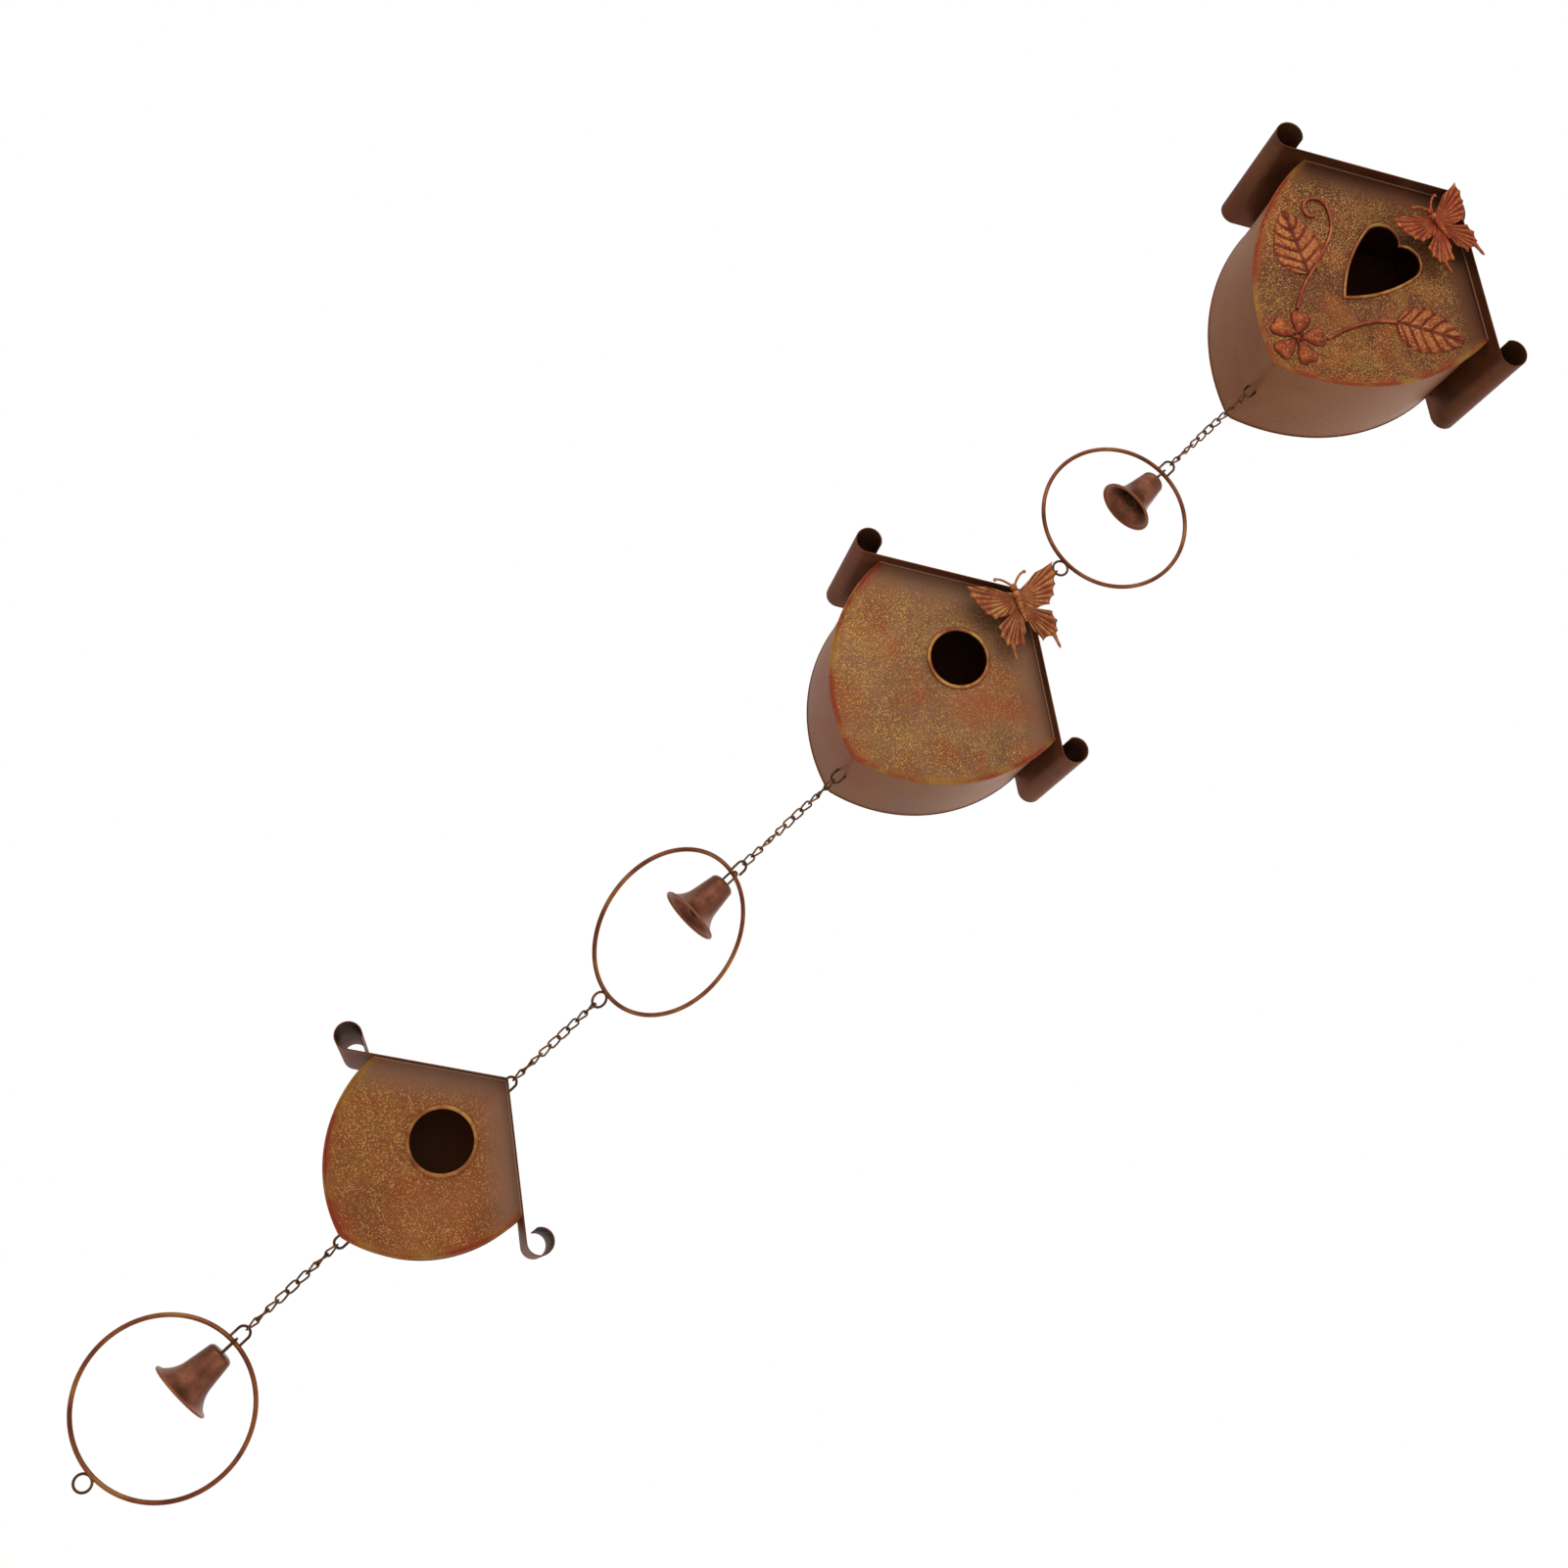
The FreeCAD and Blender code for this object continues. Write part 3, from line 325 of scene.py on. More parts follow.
def stippled_copper_front(house, half_width, gable, drop):
    """Copper sheet, embossed with short flecks, flamed and rubbed: golden flecks on a mauve-brown ground, golden
    and rust-red clouds, a plain band under the roof, darkened on the large house by painted shadow of its roof,
    a smooth bright edge round the foot and a painted highlight along the flange's cut edge."""
    settings = bpy.context.scene.rain_houses
    material, tree = new_material("Stippled flamed copper, " + house)
    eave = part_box(house + "_front_plate")[1].z - gable * MM
    side = side_arc(half_width, drop)
    place = node(tree, "ShaderNodeTexCoord").outputs["Object"]
    parts = node(tree, "ShaderNodeSeparateXYZ", {"Vector": place})
    across = node(tree, "ShaderNodeMath", {0: parts.outputs["X"]}, operation="ABSOLUTE").outputs[0]
    height = node(tree, "ShaderNodeMath", {0: parts.outputs["Z"], 1: eave}, operation="SUBTRACT").outputs[0]

    # Distance in from the rounded lower edge
    from_centre = node(tree, "ShaderNodeMath", {
        0: across, 1: (side - half_width) * MM,
    }, operation="ADD").outputs[0]
    corner = node(tree, "ShaderNodeCombineXYZ", {"X": from_centre, "Y": height})
    reach = node(tree, "ShaderNodeVectorMath", {0: corner.outputs[0]}, operation="LENGTH").outputs["Value"]
    inset = node(tree, "ShaderNodeMath", {0: side * MM, 1: reach}, operation="SUBTRACT").outputs[0]

    # Distance down from the roof's slope
    slope = math.atan2(gable, half_width)
    run = node(tree, "ShaderNodeMath", {0: across, 1: math.sin(slope)}, operation="MULTIPLY").outputs[0]
    fall = node(tree, "ShaderNodeMath", {0: height, 1: math.cos(slope)}, operation="MULTIPLY").outputs[0]
    reached = node(tree, "ShaderNodeMath", {0: run, 1: fall}, operation="ADD").outputs[0]
    below = node(tree, "ShaderNodeMath", {
        0: gable * math.cos(slope) * MM, 1: reached,
    }, operation="SUBTRACT").outputs[0]

    clouds = node(tree, "ShaderNodeTexNoise", {
        "Vector": place, "Scale": 1 / (30 * MM), "Detail": 4.0, "Roughness": 0.6, "Distortion": 0.5,
    }).outputs["Fac"]
    blotches = node(tree, "ShaderNodeTexNoise", {
        "Vector": place, "Scale": 1 / (42 * MM), "Detail": 4.0, "Roughness": 0.62, "Distortion": 0.9,
    }).outputs["Color"]
    sorts = node(tree, "ShaderNodeSeparateColor", {"Color": blotches})
    fleck = node(tree, "ShaderNodeTexNoise", {
        "Vector": place, "Scale": 1 / (settings.stipple_spacing * MM), "Detail": 1.0, "Roughness": 0.5,
        "Distortion": 0.4,
    }).outputs["Fac"]

    # Ground: mauve-brown, with slow rust-red and golden clouds
    brown = getattr(settings, house + "_ground")
    ground = node(tree, "ShaderNodeValToRGB", {"Fac": clouds}, stops=[
        (stop, [share * channel for channel in brown[:3]] + [1.0])
        for stop, share in ((0.32, 0.75), (0.5, 1.0), (0.66, 1.2))
    ]).outputs["Color"]
    rust = node(tree, "ShaderNodeMapRange", {
        "Value": sorts.outputs["Red"], "From Min": 0.50, "From Max": 0.64, "To Min": 0.0, "To Max": 0.7,
    }).outputs["Result"]
    reddened = node(tree, "ShaderNodeMix", {
        "Factor": rust, 6: ground, 7: linear("#8c4121"),
    }, data_type="RGBA").outputs[2]
    wash = node(tree, "ShaderNodeMapRange", {
        "Value": sorts.outputs["Green"], "From Min": 0.50, "From Max": 0.68, "To Min": 0.0, "To Max": 0.4,
    }).outputs["Result"]
    open_front = node(tree, "ShaderNodeMapRange", {
        "Value": below, "From Min": 5 * MM, "From Max": 16 * MM, "To Min": 0.0, "To Max": 1.0,
    }).outputs["Result"]
    washed_part = node(tree, "ShaderNodeMath", {0: wash, 1: open_front}, operation="MULTIPLY").outputs[0]
    washed = node(tree, "ShaderNodeMix", {
        "Factor": washed_part, 6: reddened, 7: linear("#8c632b"),
    }, data_type="RGBA").outputs[2]

    # Flecks are rubbed golden, more in some clouds than in others and not at all under the roof
    lean = node(tree, "ShaderNodeMapRange", {
        "Value": sorts.outputs["Blue"], "From Min": 0.35, "From Max": 0.65, "To Min": -0.04, "To Max": 0.045,
    }).outputs["Result"]
    crowd = node(tree, "ShaderNodeMath", {0: fleck, 1: lean}, operation="ADD").outputs[0]
    raised = node(tree, "ShaderNodeMapRange", {
        "Value": crowd, "From Min": 0.51, "From Max": 0.60, "To Min": 0.0, "To Max": 1.0,
    }).outputs["Result"]
    shown = node(tree, "ShaderNodeMath", {0: raised, 1: open_front}, operation="MULTIPLY").outputs[0]
    rubbed = node(tree, "ShaderNodeMath", {0: shown, 1: 0.72}, operation="MULTIPLY").outputs[0]
    grained = node(tree, "ShaderNodeMix", {
        "Factor": rubbed, 6: washed, 7: list(settings.front_gold),
    }, data_type="RGBA").outputs[2]
    # Under the roof the flecks give way to a plain band; on the large house its darker colour is painted shadow of
    # the roof, deepest next to the roof
    under_roof = node(tree, "ShaderNodeMapRange", {
        "Value": below, "From Min": 20 * MM, "From Max": 5 * MM, "To Min": 0.0, "To Max": 0.75,
    }).outputs["Result"]
    banded = node(tree, "ShaderNodeMix", {
        "Factor": under_roof, 6: grained, 7: linear(BANDS[house]),
    }, data_type="RGBA").outputs[2]

    # Gold and rust gather towards the foot, and the last two millimetres are smooth and bright
    glow = node(tree, "ShaderNodeMapRange", {
        "Value": inset, "From Min": 7 * MM, "From Max": 1 * MM, "To Min": 0.0, "To Max": 0.45,
    }).outputs["Result"]
    foot_colour = node(tree, "ShaderNodeValToRGB", {"Fac": sorts.outputs["Red"]}, stops=[
        (0.40, linear("#9c7030")), (0.49, linear("#93582a")), (0.57, linear("#8c3a20")),
    ]).outputs["Color"]
    footed = node(tree, "ShaderNodeMix", {"Factor": glow, 6: banded, 7: foot_colour}, data_type="RGBA").outputs[2]
    lip = node(tree, "ShaderNodeMapRange", {
        "Value": inset, "From Min": 2.6 * MM, "From Max": 1.6 * MM, "To Min": 0.0, "To Max": 0.8,
    }).outputs["Result"]
    lipped = node(tree, "ShaderNodeMix", {"Factor": lip, 6: footed, 7: foot_colour}, data_type="RGBA").outputs[2]

    # The cut edge of the flange under the roof gets a painted highlight: a pale strip on its front
    cut_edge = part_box(house + "_front_plate")[0].y
    painted_edge_highlight = node(tree, "ShaderNodeMapRange", {
        "Value": parts.outputs["Y"], "From Min": cut_edge + 0.5 * MM, "From Max": cut_edge,
        "To Min": 0.0, "To Max": 0.85,
    }).outputs["Result"]
    colour = node(tree, "ShaderNodeMix", {
        "Factor": painted_edge_highlight, 6: lipped, 7: linear("#b08c72"),
    }, data_type="RGBA").outputs[2]
    roughness = node(tree, "ShaderNodeMapRange", {
        "Value": shown, "From Min": 0.0, "From Max": 1.0, "To Min": 0.58, "To Max": 0.40,
    }).outputs["Result"]
    finish(tree, colour, roughness, 0.6, shown, 0.3 * MM, 0.8)
    return material


def satin_sheet(name, low, mid, high, tint, roughness, metallic, cloud=38.0, glance="#f4e6dc"):
    """Oxidised copper sheet, rolled smooth: a satin sheen with slow clouds of colour and a faint grain."""
    material, tree = new_material(name)
    place = node(tree, "ShaderNodeTexCoord").outputs["Object"]
    clouds = node(tree, "ShaderNodeTexNoise", {
        "Vector": place, "Scale": 1 / (cloud * MM), "Detail": 3.0, "Roughness": 0.5, "Distortion": 0.5,
    }).outputs["Fac"]
    flush = node(tree, "ShaderNodeTexNoise", {
        "Vector": place, "Scale": 1 / (70 * MM), "Detail": 2.0, "Roughness": 0.5,
    }).outputs["Fac"]
    fine = node(tree, "ShaderNodeTexNoise", {
        "Vector": place, "Scale": 1 / (2.2 * MM), "Detail": 3.0, "Roughness": 0.6,
    }).outputs["Fac"]
    ground = node(tree, "ShaderNodeValToRGB", {"Fac": clouds}, stops=[
        (0.32, linear(low)), (0.50, linear(mid)), (0.68, linear(high)),
    ]).outputs["Color"]
    amount = node(tree, "ShaderNodeMapRange", {
        "Value": flush, "From Min": 0.48, "From Max": 0.66, "To Min": 0.0, "To Max": 0.6,
    }).outputs["Result"]
    flushed = node(tree, "ShaderNodeMix", {
        "Factor": amount, 6: ground, 7: linear(tint),
    }, data_type="RGBA").outputs[2]
    dust = node(tree, "ShaderNodeMapRange", {
        "Value": fine, "From Min": 0.3, "From Max": 0.7, "To Min": 0.90, "To Max": 1.08,
    }).outputs["Result"]
    colour = node(tree, "ShaderNodeMix", {
        "Factor": 1.0, 6: flushed, 7: dust,
    }, data_type="RGBA", blend_type="MULTIPLY").outputs[2]
    sheen = node(tree, "ShaderNodeMapRange", {
        "Value": clouds, "From Min": 0.3, "From Max": 0.7, "To Min": roughness - 0.06, "To Max": roughness + 0.06,
    }).outputs["Result"]
    finish(tree, colour, sheen, metallic, fine, 0.05 * MM, 0.5, glance=glance)
    return material


def flamed_casting(name, low, mid, high):
    """Cast copper, flamed and brushed back: rust ground and golden high spots, with painted shade, dark brown, in
    the hollows.
    """
    material, tree = new_material(name)
    place = node(tree, "ShaderNodeTexCoord").outputs["Object"]
    relief = node(tree, "ShaderNodeAttribute", attribute_name="relief").outputs["Fac"]
    clouds = node(tree, "ShaderNodeTexNoise", {
        "Vector": place, "Scale": 1 / (7 * MM), "Detail": 4.0, "Roughness": 0.65,
    }).outputs["Fac"]
    fine = node(tree, "ShaderNodeTexNoise", {
        "Vector": place, "Scale": 1 / (1.5 * MM), "Detail": 2.0, "Roughness": 0.6,
    }).outputs["Fac"]
    ground = node(tree, "ShaderNodeValToRGB", {"Fac": clouds}, stops=[
        (0.34, linear(low)), (0.50, linear(mid)), (0.66, linear(high)),
    ]).outputs["Color"]
    rubbed = node(tree, "ShaderNodeMath", {0: relief, 1: fine}, operation="MULTIPLY").outputs[0]
    gold = node(tree, "ShaderNodeMapRange", {
        "Value": rubbed, "From Min": 0.36, "From Max": 0.52, "To Min": 0.0, "To Max": 0.6,
    }).outputs["Result"]
    bright = node(tree, "ShaderNodeMix", {
        "Factor": gold, 6: ground, 7: linear("#bd8348"),
    }, data_type="RGBA").outputs[2]
    # Low relief is painted dark brown: painted shade in the hollows
    painted_hollow_shade = node(tree, "ShaderNodeMapRange", {
        "Value": relief, "From Min": 0.52, "From Max": 0.10, "To Min": 0.0, "To Max": 0.92,
    }).outputs["Result"]
    colour = node(tree, "ShaderNodeMix", {
        "Factor": painted_hollow_shade, 6: bright, 7: linear("#3d2013"),
    }, data_type="RGBA").outputs[2]
    finish(tree, colour, 0.46, 0.6, fine, 0.2 * MM, 0.7)
    return material


def flamed_wire(name, dark, mid, bright, patch, roughness, metallic):
    """Drawn copper wire, flamed in stretches: the colour changes along its length and its skin is finely drawn."""
    material, tree = new_material(name)
    place = node(tree, "ShaderNodeTexCoord").outputs["Object"]
    stretch = node(tree, "ShaderNodeTexNoise", {
        "Vector": place, "Scale": 1 / (patch * MM), "Detail": 3.0, "Roughness": 0.55,
    }).outputs["Fac"]
    fine = node(tree, "ShaderNodeTexNoise", {
        "Vector": place, "Scale": 1 / (0.9 * MM), "Detail": 2.0,
    }).outputs["Fac"]
    ground = node(tree, "ShaderNodeValToRGB", {"Fac": stretch}, stops=[
        (0.34, linear(dark)), (0.50, linear(mid)), (0.66, linear(bright)),
    ]).outputs["Color"]
    dust = node(tree, "ShaderNodeMapRange", {
        "Value": fine, "From Min": 0.3, "From Max": 0.7, "To Min": 0.95, "To Max": 1.05,
    }).outputs["Result"]
    colour = node(tree, "ShaderNodeMix", {
        "Factor": 1.0, 6: ground, 7: dust,
    }, data_type="RGBA", blend_type="MULTIPLY").outputs[2]
    finish(tree, colour, roughness, metallic, fine, 0.03 * MM, 0.3)
    return material


def spun_copper_bell(name):
    """Spun copper, flamed brown with rust clouds; the rolled mouth is rubbed a little brighter."""
    material, tree = new_material(name)
    coordinates = node(tree, "ShaderNodeTexCoord")
    place = coordinates.outputs["Object"]
    rise = node(tree, "ShaderNodeSeparateXYZ", {"Vector": coordinates.outputs["Generated"]}).outputs["Z"]
    clouds = node(tree, "ShaderNodeTexNoise", {
        "Vector": place, "Scale": 1 / (9 * MM), "Detail": 3.0, "Roughness": 0.6,
    }).outputs["Fac"]
    fine = node(tree, "ShaderNodeTexNoise", {
        "Vector": place, "Scale": 1 / (1.2 * MM), "Detail": 2.0,
    }).outputs["Fac"]
    ground = node(tree, "ShaderNodeValToRGB", {"Fac": clouds}, stops=[
        (0.34, linear("#5a3324")), (0.50, linear("#6b3e2c")), (0.66, linear("#804d36")),
    ]).outputs["Color"]
    mouth = node(tree, "ShaderNodeMapRange", {
        "Value": rise, "From Min": 0.085, "From Max": 0.05, "To Min": 0.0, "To Max": 0.7,
    }).outputs["Result"]
    colour = node(tree, "ShaderNodeMix", {
        "Factor": mouth, 6: ground, 7: linear("#8c5232"),
    }, data_type="RGBA").outputs[2]
    finish(tree, colour, 0.40, 0.65, fine, 0.04 * MM, 0.3)
    return material


def dress(name, material):
    """Gives a CAD node its finish."""
    piece = NODES[name]
    piece.data.materials.clear()
    piece.data.materials.append(material)


def mesh_piece(name, relief, material, body, replaced=None):
    """A new piece in the shared frame, riding on a body; where it is given, in place of a CAD node."""
    mesh = bpy.data.meshes.new(name)
    mesh.from_pydata(relief.vertices, [], relief.faces)
    mesh.validate()
    # Each point's shade goes into the relief attribute; the castings' finish paints its low values dark as shade
    layer = mesh.attributes.new("relief", "FLOAT", "POINT")
    layer.data.foreach_set("value", relief.shade)
    mesh.shade_smooth()
    mesh.materials.append(material)
    piece = bpy.data.objects.new(name, mesh)
    bpy.context.scene.collection.objects.link(piece)
    tidy = bmesh.new()
    tidy.from_mesh(mesh)
    bmesh.ops.recalc_face_normals(tidy, faces=tidy.faces)
    tidy.to_mesh(mesh)
    tidy.free()
    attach(piece, body)
    if replaced:
        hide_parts(replaced)


class Relief:
    """Collects the grids of one piece, with a shade at each point."""

    def __init__(self):
        self.vertices = []
        self.faces = []
        self.shade = []

    def grid(self, rows, shades, closed=False):
        """A sheet of quads from rows of points of equal length."""
        count = len(rows[0])
        first = len(self.vertices)
        for row, shade in zip(rows, shades):
            self.vertices += row
            self.shade += shade
        for low in range(first, first + (len(rows) - 1) * count, count):
            high = low + count
            for index in range(count if closed else count - 1):
                after = (index + 1) % count
                self.faces.append((low + index, low + after, high + after, high + index))

    def blob(self, centre, radii, shade, rings=10, sides=16):
        """A rounded body: an ellipsoid with its own radii."""
        rows = []
        for ring in range(rings + 1):
            polar = math.pi * (0.002 + 0.996 * ring / rings)
            rows.append([
                Vector((
                    centre.x + radii[0] * math.cos(polar),
                    centre.y + radii[1] * math.sin(polar) * math.cos(2 * math.pi * side / sides),
                    centre.z + radii[2] * math.sin(polar) * math.sin(2 * math.pi * side / sides),
                )) for side in range(sides)
            ])
        self.grid(rows, [[shade] * sides for _ in rows], closed=True)

    def tube(self, path, radii, shade, sides=8):
        """Round wire along a path, with a radius at each point."""
        rows = []
        for index, point in enumerate(path):
            ahead = path[min(index + 1, len(path) - 1)] - path[max(index - 1, 0)]
            ahead.normalize()
            across = ahead.cross(Vector((0, 1, 0)))
            if across.length < 1e-6:
                across = Vector((1, 0, 0))
            across.normalize()
            up = across.cross(ahead)
            rows.append([
                point + (across * math.cos(2 * math.pi * side / sides) + up * math.sin(2 * math.pi * side / sides))
                * radii[index] for side in range(sides)
            ])
        self.grid(rows, [[shade] * sides for _ in rows], closed=True)


def spots_on_front(centre, degrees):
    """A function from millimetres along, across and above a casting's own axes to a place in the frame."""
    turn = math.radians(degrees)
    forward = Vector((math.cos(turn), 0, math.sin(turn)))
    sideways = Vector((-math.sin(turn), 0, math.cos(turn)))

    def place(along, across, lift):
        return centre + (forward * along + sideways * across) * MM + Vector((0, -lift * MM, 0))

    return place


def scalloped(corners, scallops, steps):
    """Points along a wing's edge: straight or bulging from corner to corner."""
    points = []
    for index in range(len(corners) - 1):
        first = Vector(corners[index])
        second = Vector(corners[index + 1])
        chord = second - first
        outward = Vector((-chord.y, chord.x)).normalized()
        for step in range(steps):
            share = step / steps
            bulge = scallops[index] * 4 * share * (1 - share)
            points.append(first + chord * share + outward * bulge)
    points.append(Vector(corners[-1]))
    return points


def butterfly_piece(name, centre, degrees, material, body):
    """A cast butterfly: ribbed wings that curl forward, a segmented body and two knobbed antennae."""
    settings = bpy.context.scene.rain_ornaments
    relief = Relief()
    place = spots_on_front(centre, degrees)
    for root, corners, scallops, ribs in (FOREWING, HINDWING):
        for hand in (1, -1):
            edge = scalloped(corners, scallops, SCALLOP_STEPS)
            count = len(edge)
            front_rows = []
            front_shades = []
            back_rows = []
            for ring in range(WING_ROWS + 1):
                share = WING_ROOT_SHARE + (1 - WING_ROOT_SHARE) * ring / WING_ROWS
                front = []
                back = []
                shade = []
                for index, rim in enumerate(edge):
                    along = index / (count - 1)
                    u = root[0] + (rim.x - root[0]) * share
                    v = root[1] + (rim.y - root[1]) * share
                    wave = math.cos(2 * math.pi * ribs * along)
                    fade = min(1.0, share * 1.6)
                    rib = 0.5 + 0.5 * wave
                    border = 0.35 if share > 0.9 else 0.0
                    curl = settings.wing_curl * (v / WING_REACH) ** 2
                    lift = 0.9 + curl + settings.rib_height * (rib * fade + border)
                    if ring == WING_ROWS:
                        lift = 0.5 + curl
                    front.append(place(u, hand * v, lift))
                    back.append(place(u, hand * v, curl * 0.9))
                    # Shade: low between the ribs and on the wings' backs, painted dark as shade by the casting's
                    # finish; high on the ribs and the border
                    shade.append(0.12 + 0.7 * rib * fade + 0.4 * border + 0.2 * (1 - fade))
                front_rows.append(front)
                front_shades.append(shade)
                back_rows.append(back)
            relief.grid(front_rows + [back_rows[-1]], front_shades + [[0.2] * count])
            relief.grid(back_rows, [[0.2] * count for _ in back_rows])
    for hand in (1, -1):
        tail = [place(-24.0 - step * 1.9, hand * (13.2 + step * 0.16), 1.4) for step in range(len(TAIL_RADII))]
        relief.tube(tail, [radius * MM for radius in TAIL_RADII], 0.7)
        feeler = []
        for step in range(FEELER_STEPS + 1):
            share = step / FEELER_STEPS
            feeler.append(place(9.6 + 7.0 * math.sin(share * 1.5), hand * (0.8 + 9.0 * share**1.15), 2.3))
        relief.tube(feeler, [0.75 * MM] * FEELER_STEPS + [0.5 * MM], 0.75)
        knob = place(16.4, hand * 9.4, 2.3)
        relief.blob(knob, (1.15 * MM, 1.15 * MM, 1.15 * MM), 0.85, 8, 10)
    for u, radius, shade in BODY_SEGMENTS:
        relief.blob(place(u, 0, 1.5), (radius * MM, radius * MM * 0.95, radius * MM), shade, 8, 12)
    mesh_piece(name + "_relief", relief, material, body, name)


def leaf_piece(name, base, degrees, material, body):
    """A cast leaf: swollen fields between sunken veins, a toothed margin and a turned-down edge."""
    settings = bpy.context.scene.rain_ornaments
    relief = Relief()
    place = spots_on_front(base, degrees)
    long_steps, wide_steps = LEAF_STEPS
    rows = []
    shades = []
    for step in range(long_steps + 1):
        u = step / long_steps
        width = LEAF_HALF_WIDTH * math.sin(math.pi * u**0.72) ** 0.72 if 0 < u < 1 else 0.0
        tooth = 1 - 0.06 * (u * LEAF_TEETH % 1.0)
        row = []
        shade = []
        for cell in range(wide_steps + 1):
            v = -1 + 2 * cell / wide_steps
            run = u - 0.21 * abs(v) ** 1.15
            vein = min(1.0, 1.7 * abs(math.sin(math.pi * (settings.vein_count + 1) * run)))
            midrib = min(1.0, abs(v) * width / 1.7)
            field = vein * midrib
            crown = math.sqrt(max(0.0, 1 - v * v))
            lift = 0.45 + 0.55 * crown + 0.85 * field * crown**0.5
            if abs(v) > 0.98 or u in (0.0, 1.0):
                lift = 0.1
            row.append(place(u * LEAF_LENGTH, v * width * tooth, lift))
            # Shade: low in the sunken veins and midrib, painted dark as shade by the casting's finish; high on the
            # swollen fields
            shade.append(0.14 + 0.62 * field**1.4 + 0.16 * crown * field)
        rows.append(row)
        shades.append(shade)
    relief.grid(rows, shades)
    mesh_piece(name + "_relief", relief, material, body, name)


def flower_piece(name, centre, material, body):
    """A cast flower: notched petals with a gap between each two, round a small knob with short stamens."""
    relief = Relief()
    lobe = PETAL_LOBE
    spread = math.radians(PETAL_LOBE_SPREAD)
    reach = FLOWER_RADIUS - lobe
    for petal in range(PETALS):
        place = spots_on_front(centre, PETAL_TURN + 360 * petal / PETALS)
        middle = reach * 0.82
        edge = []
        flank = math.acos(lobe / reach)
        low = (reach * math.cos(spread), -reach * math.sin(spread))
        notch = low[0] + math.sqrt(max(0.0, lobe**2 - low[1] ** 2))
        start = -(spread + math.pi - flank)
        end = math.atan2(-low[1], notch - low[0])
        for step in range(PETAL_STEPS + 1):
            angle = start + (end - start) * step / PETAL_STEPS
            edge.append((low[0] + lobe * math.cos(angle), low[1] + lobe * math.sin(angle)))
        edge += [(u, -v) for u, v in reversed(edge[:-1])]
        first, last = edge[-1], edge[0]
        edge += [(first[0] * s, first[1] * s * wide) for s, wide in PETAL_FLANKS]
        edge += [(last[0] * s, last[1] * s * wide) for s, wide in reversed(PETAL_FLANKS)]
        edge = [(max(u, PETAL_NOTCH) if abs(v) < 1.0 and u > reach else u, v) for u, v in edge]
        rows = []
        shades = []
        for ring in range(PETAL_RINGS + 1):
            share = 0.03 + 0.97 * ring / PETAL_RINGS
            row = []
            shade = []
            for u, v in edge:
                dome = math.sqrt(max(0.0, 1 - share**3.2))
                lift = 0.55 + 1.25 * dome
                if ring == PETAL_RINGS:
                    lift = 0.1
                row.append(place(middle + (u - middle) * share, v * share, lift))
                # Shade: low at the petals' rims, where they meet the plate, painted dark as shade by the casting's
                # finish; high on the dome
                shade.append(0.10 + 0.68 * dome)
            rows.append(row)
            shades.append(shade)
        relief.grid(rows, shades, closed=True)
        stamen = [
            place(far * math.cos(STAMEN_TURN), far * math.sin(STAMEN_TURN), 1.0) for far, _ in STAMEN
        ]
        relief.tube(stamen, [radius * MM for _, radius in STAMEN], 0.45)
    relief.blob(centre + Vector((0, -0.7 * MM, 0)), (2.0 * MM, 1.3 * MM, 2.0 * MM), 0.5, 8, 14)
    mesh_piece(name + "_relief", relief, material, body, name)


def heart_outline(grow):
    """Points along the heart, moved outwards by grow, in millimetres from the eave."""
    lobe_radius = HEART_LOBE_RADIUS
    lobe = Vector(HEART_LOBE)
    leave = math.radians(HEART_LEAVE)
    outward = Vector((math.cos(leave), -math.sin(leave)))
    heading = Vector((-math.sin(leave), -math.cos(leave)))
    shoulder = lobe + outward * lobe_radius
    chord = Vector((0, HEART_POINT)) - shoulder
    bend = chord.length / (2 * math.sin(heading.angle(chord)))
    side = shoulder - outward * bend
    dip = lobe.y + math.sqrt((lobe_radius + grow) ** 2 - lobe.x**2)
    point = side.y - math.sqrt((bend + grow) ** 2 - side.x**2)
    start = math.atan2(dip - lobe.y, -lobe.x)
    points = []
    for step in range(HEART_LOBE_STEPS):
        angle = start + (-leave - start) * step / HEART_LOBE_STEPS
        points.append(lobe + Vector((math.cos(angle), math.sin(angle))) * (lobe_radius + grow))
    finish_angle = math.atan2(point - side.y, -side.x)
    for step in range(HEART_SIDE_STEPS + 1):
        angle = -leave + (finish_angle + leave) * step / HEART_SIDE_STEPS
        points.append(side + Vector((math.cos(angle), math.sin(angle))) * (bend + grow))
    return points + [Vector((-p.x, p.y)) for p in reversed(points[1:-1])]


def heart_rim_piece(eave, front, material):
    """Half-round copper wire soldered round the heart."""
    relief = Relief()
    grow_inside, grow_outside, height = HEART_WIRE
    inner = heart_outline(grow_inside)
    outer = heart_outline(grow_outside)
    rows = []
    shades = []
    for step in range(HEART_WIRE_STEPS + 1):
        angle = math.pi * step / HEART_WIRE_STEPS
        share = 0.5 - 0.5 * math.cos(angle)
        lift = height * math.sin(angle) ** 0.8
        rows.append([
            Vector(((a.x + (b.x - a.x) * share) * MM, front - lift * MM, eave + (a.y + (b.y - a.y) * share) * MM))
            for a, b in zip(inner, outer)
        ])
        shades.append([0.35 + 0.5 * math.sin(angle)] * len(inner))
    relief.grid(rows, shades, closed=True)
    mesh_piece("heart_rim_wire", relief, material, "house_1", "heart_rim")


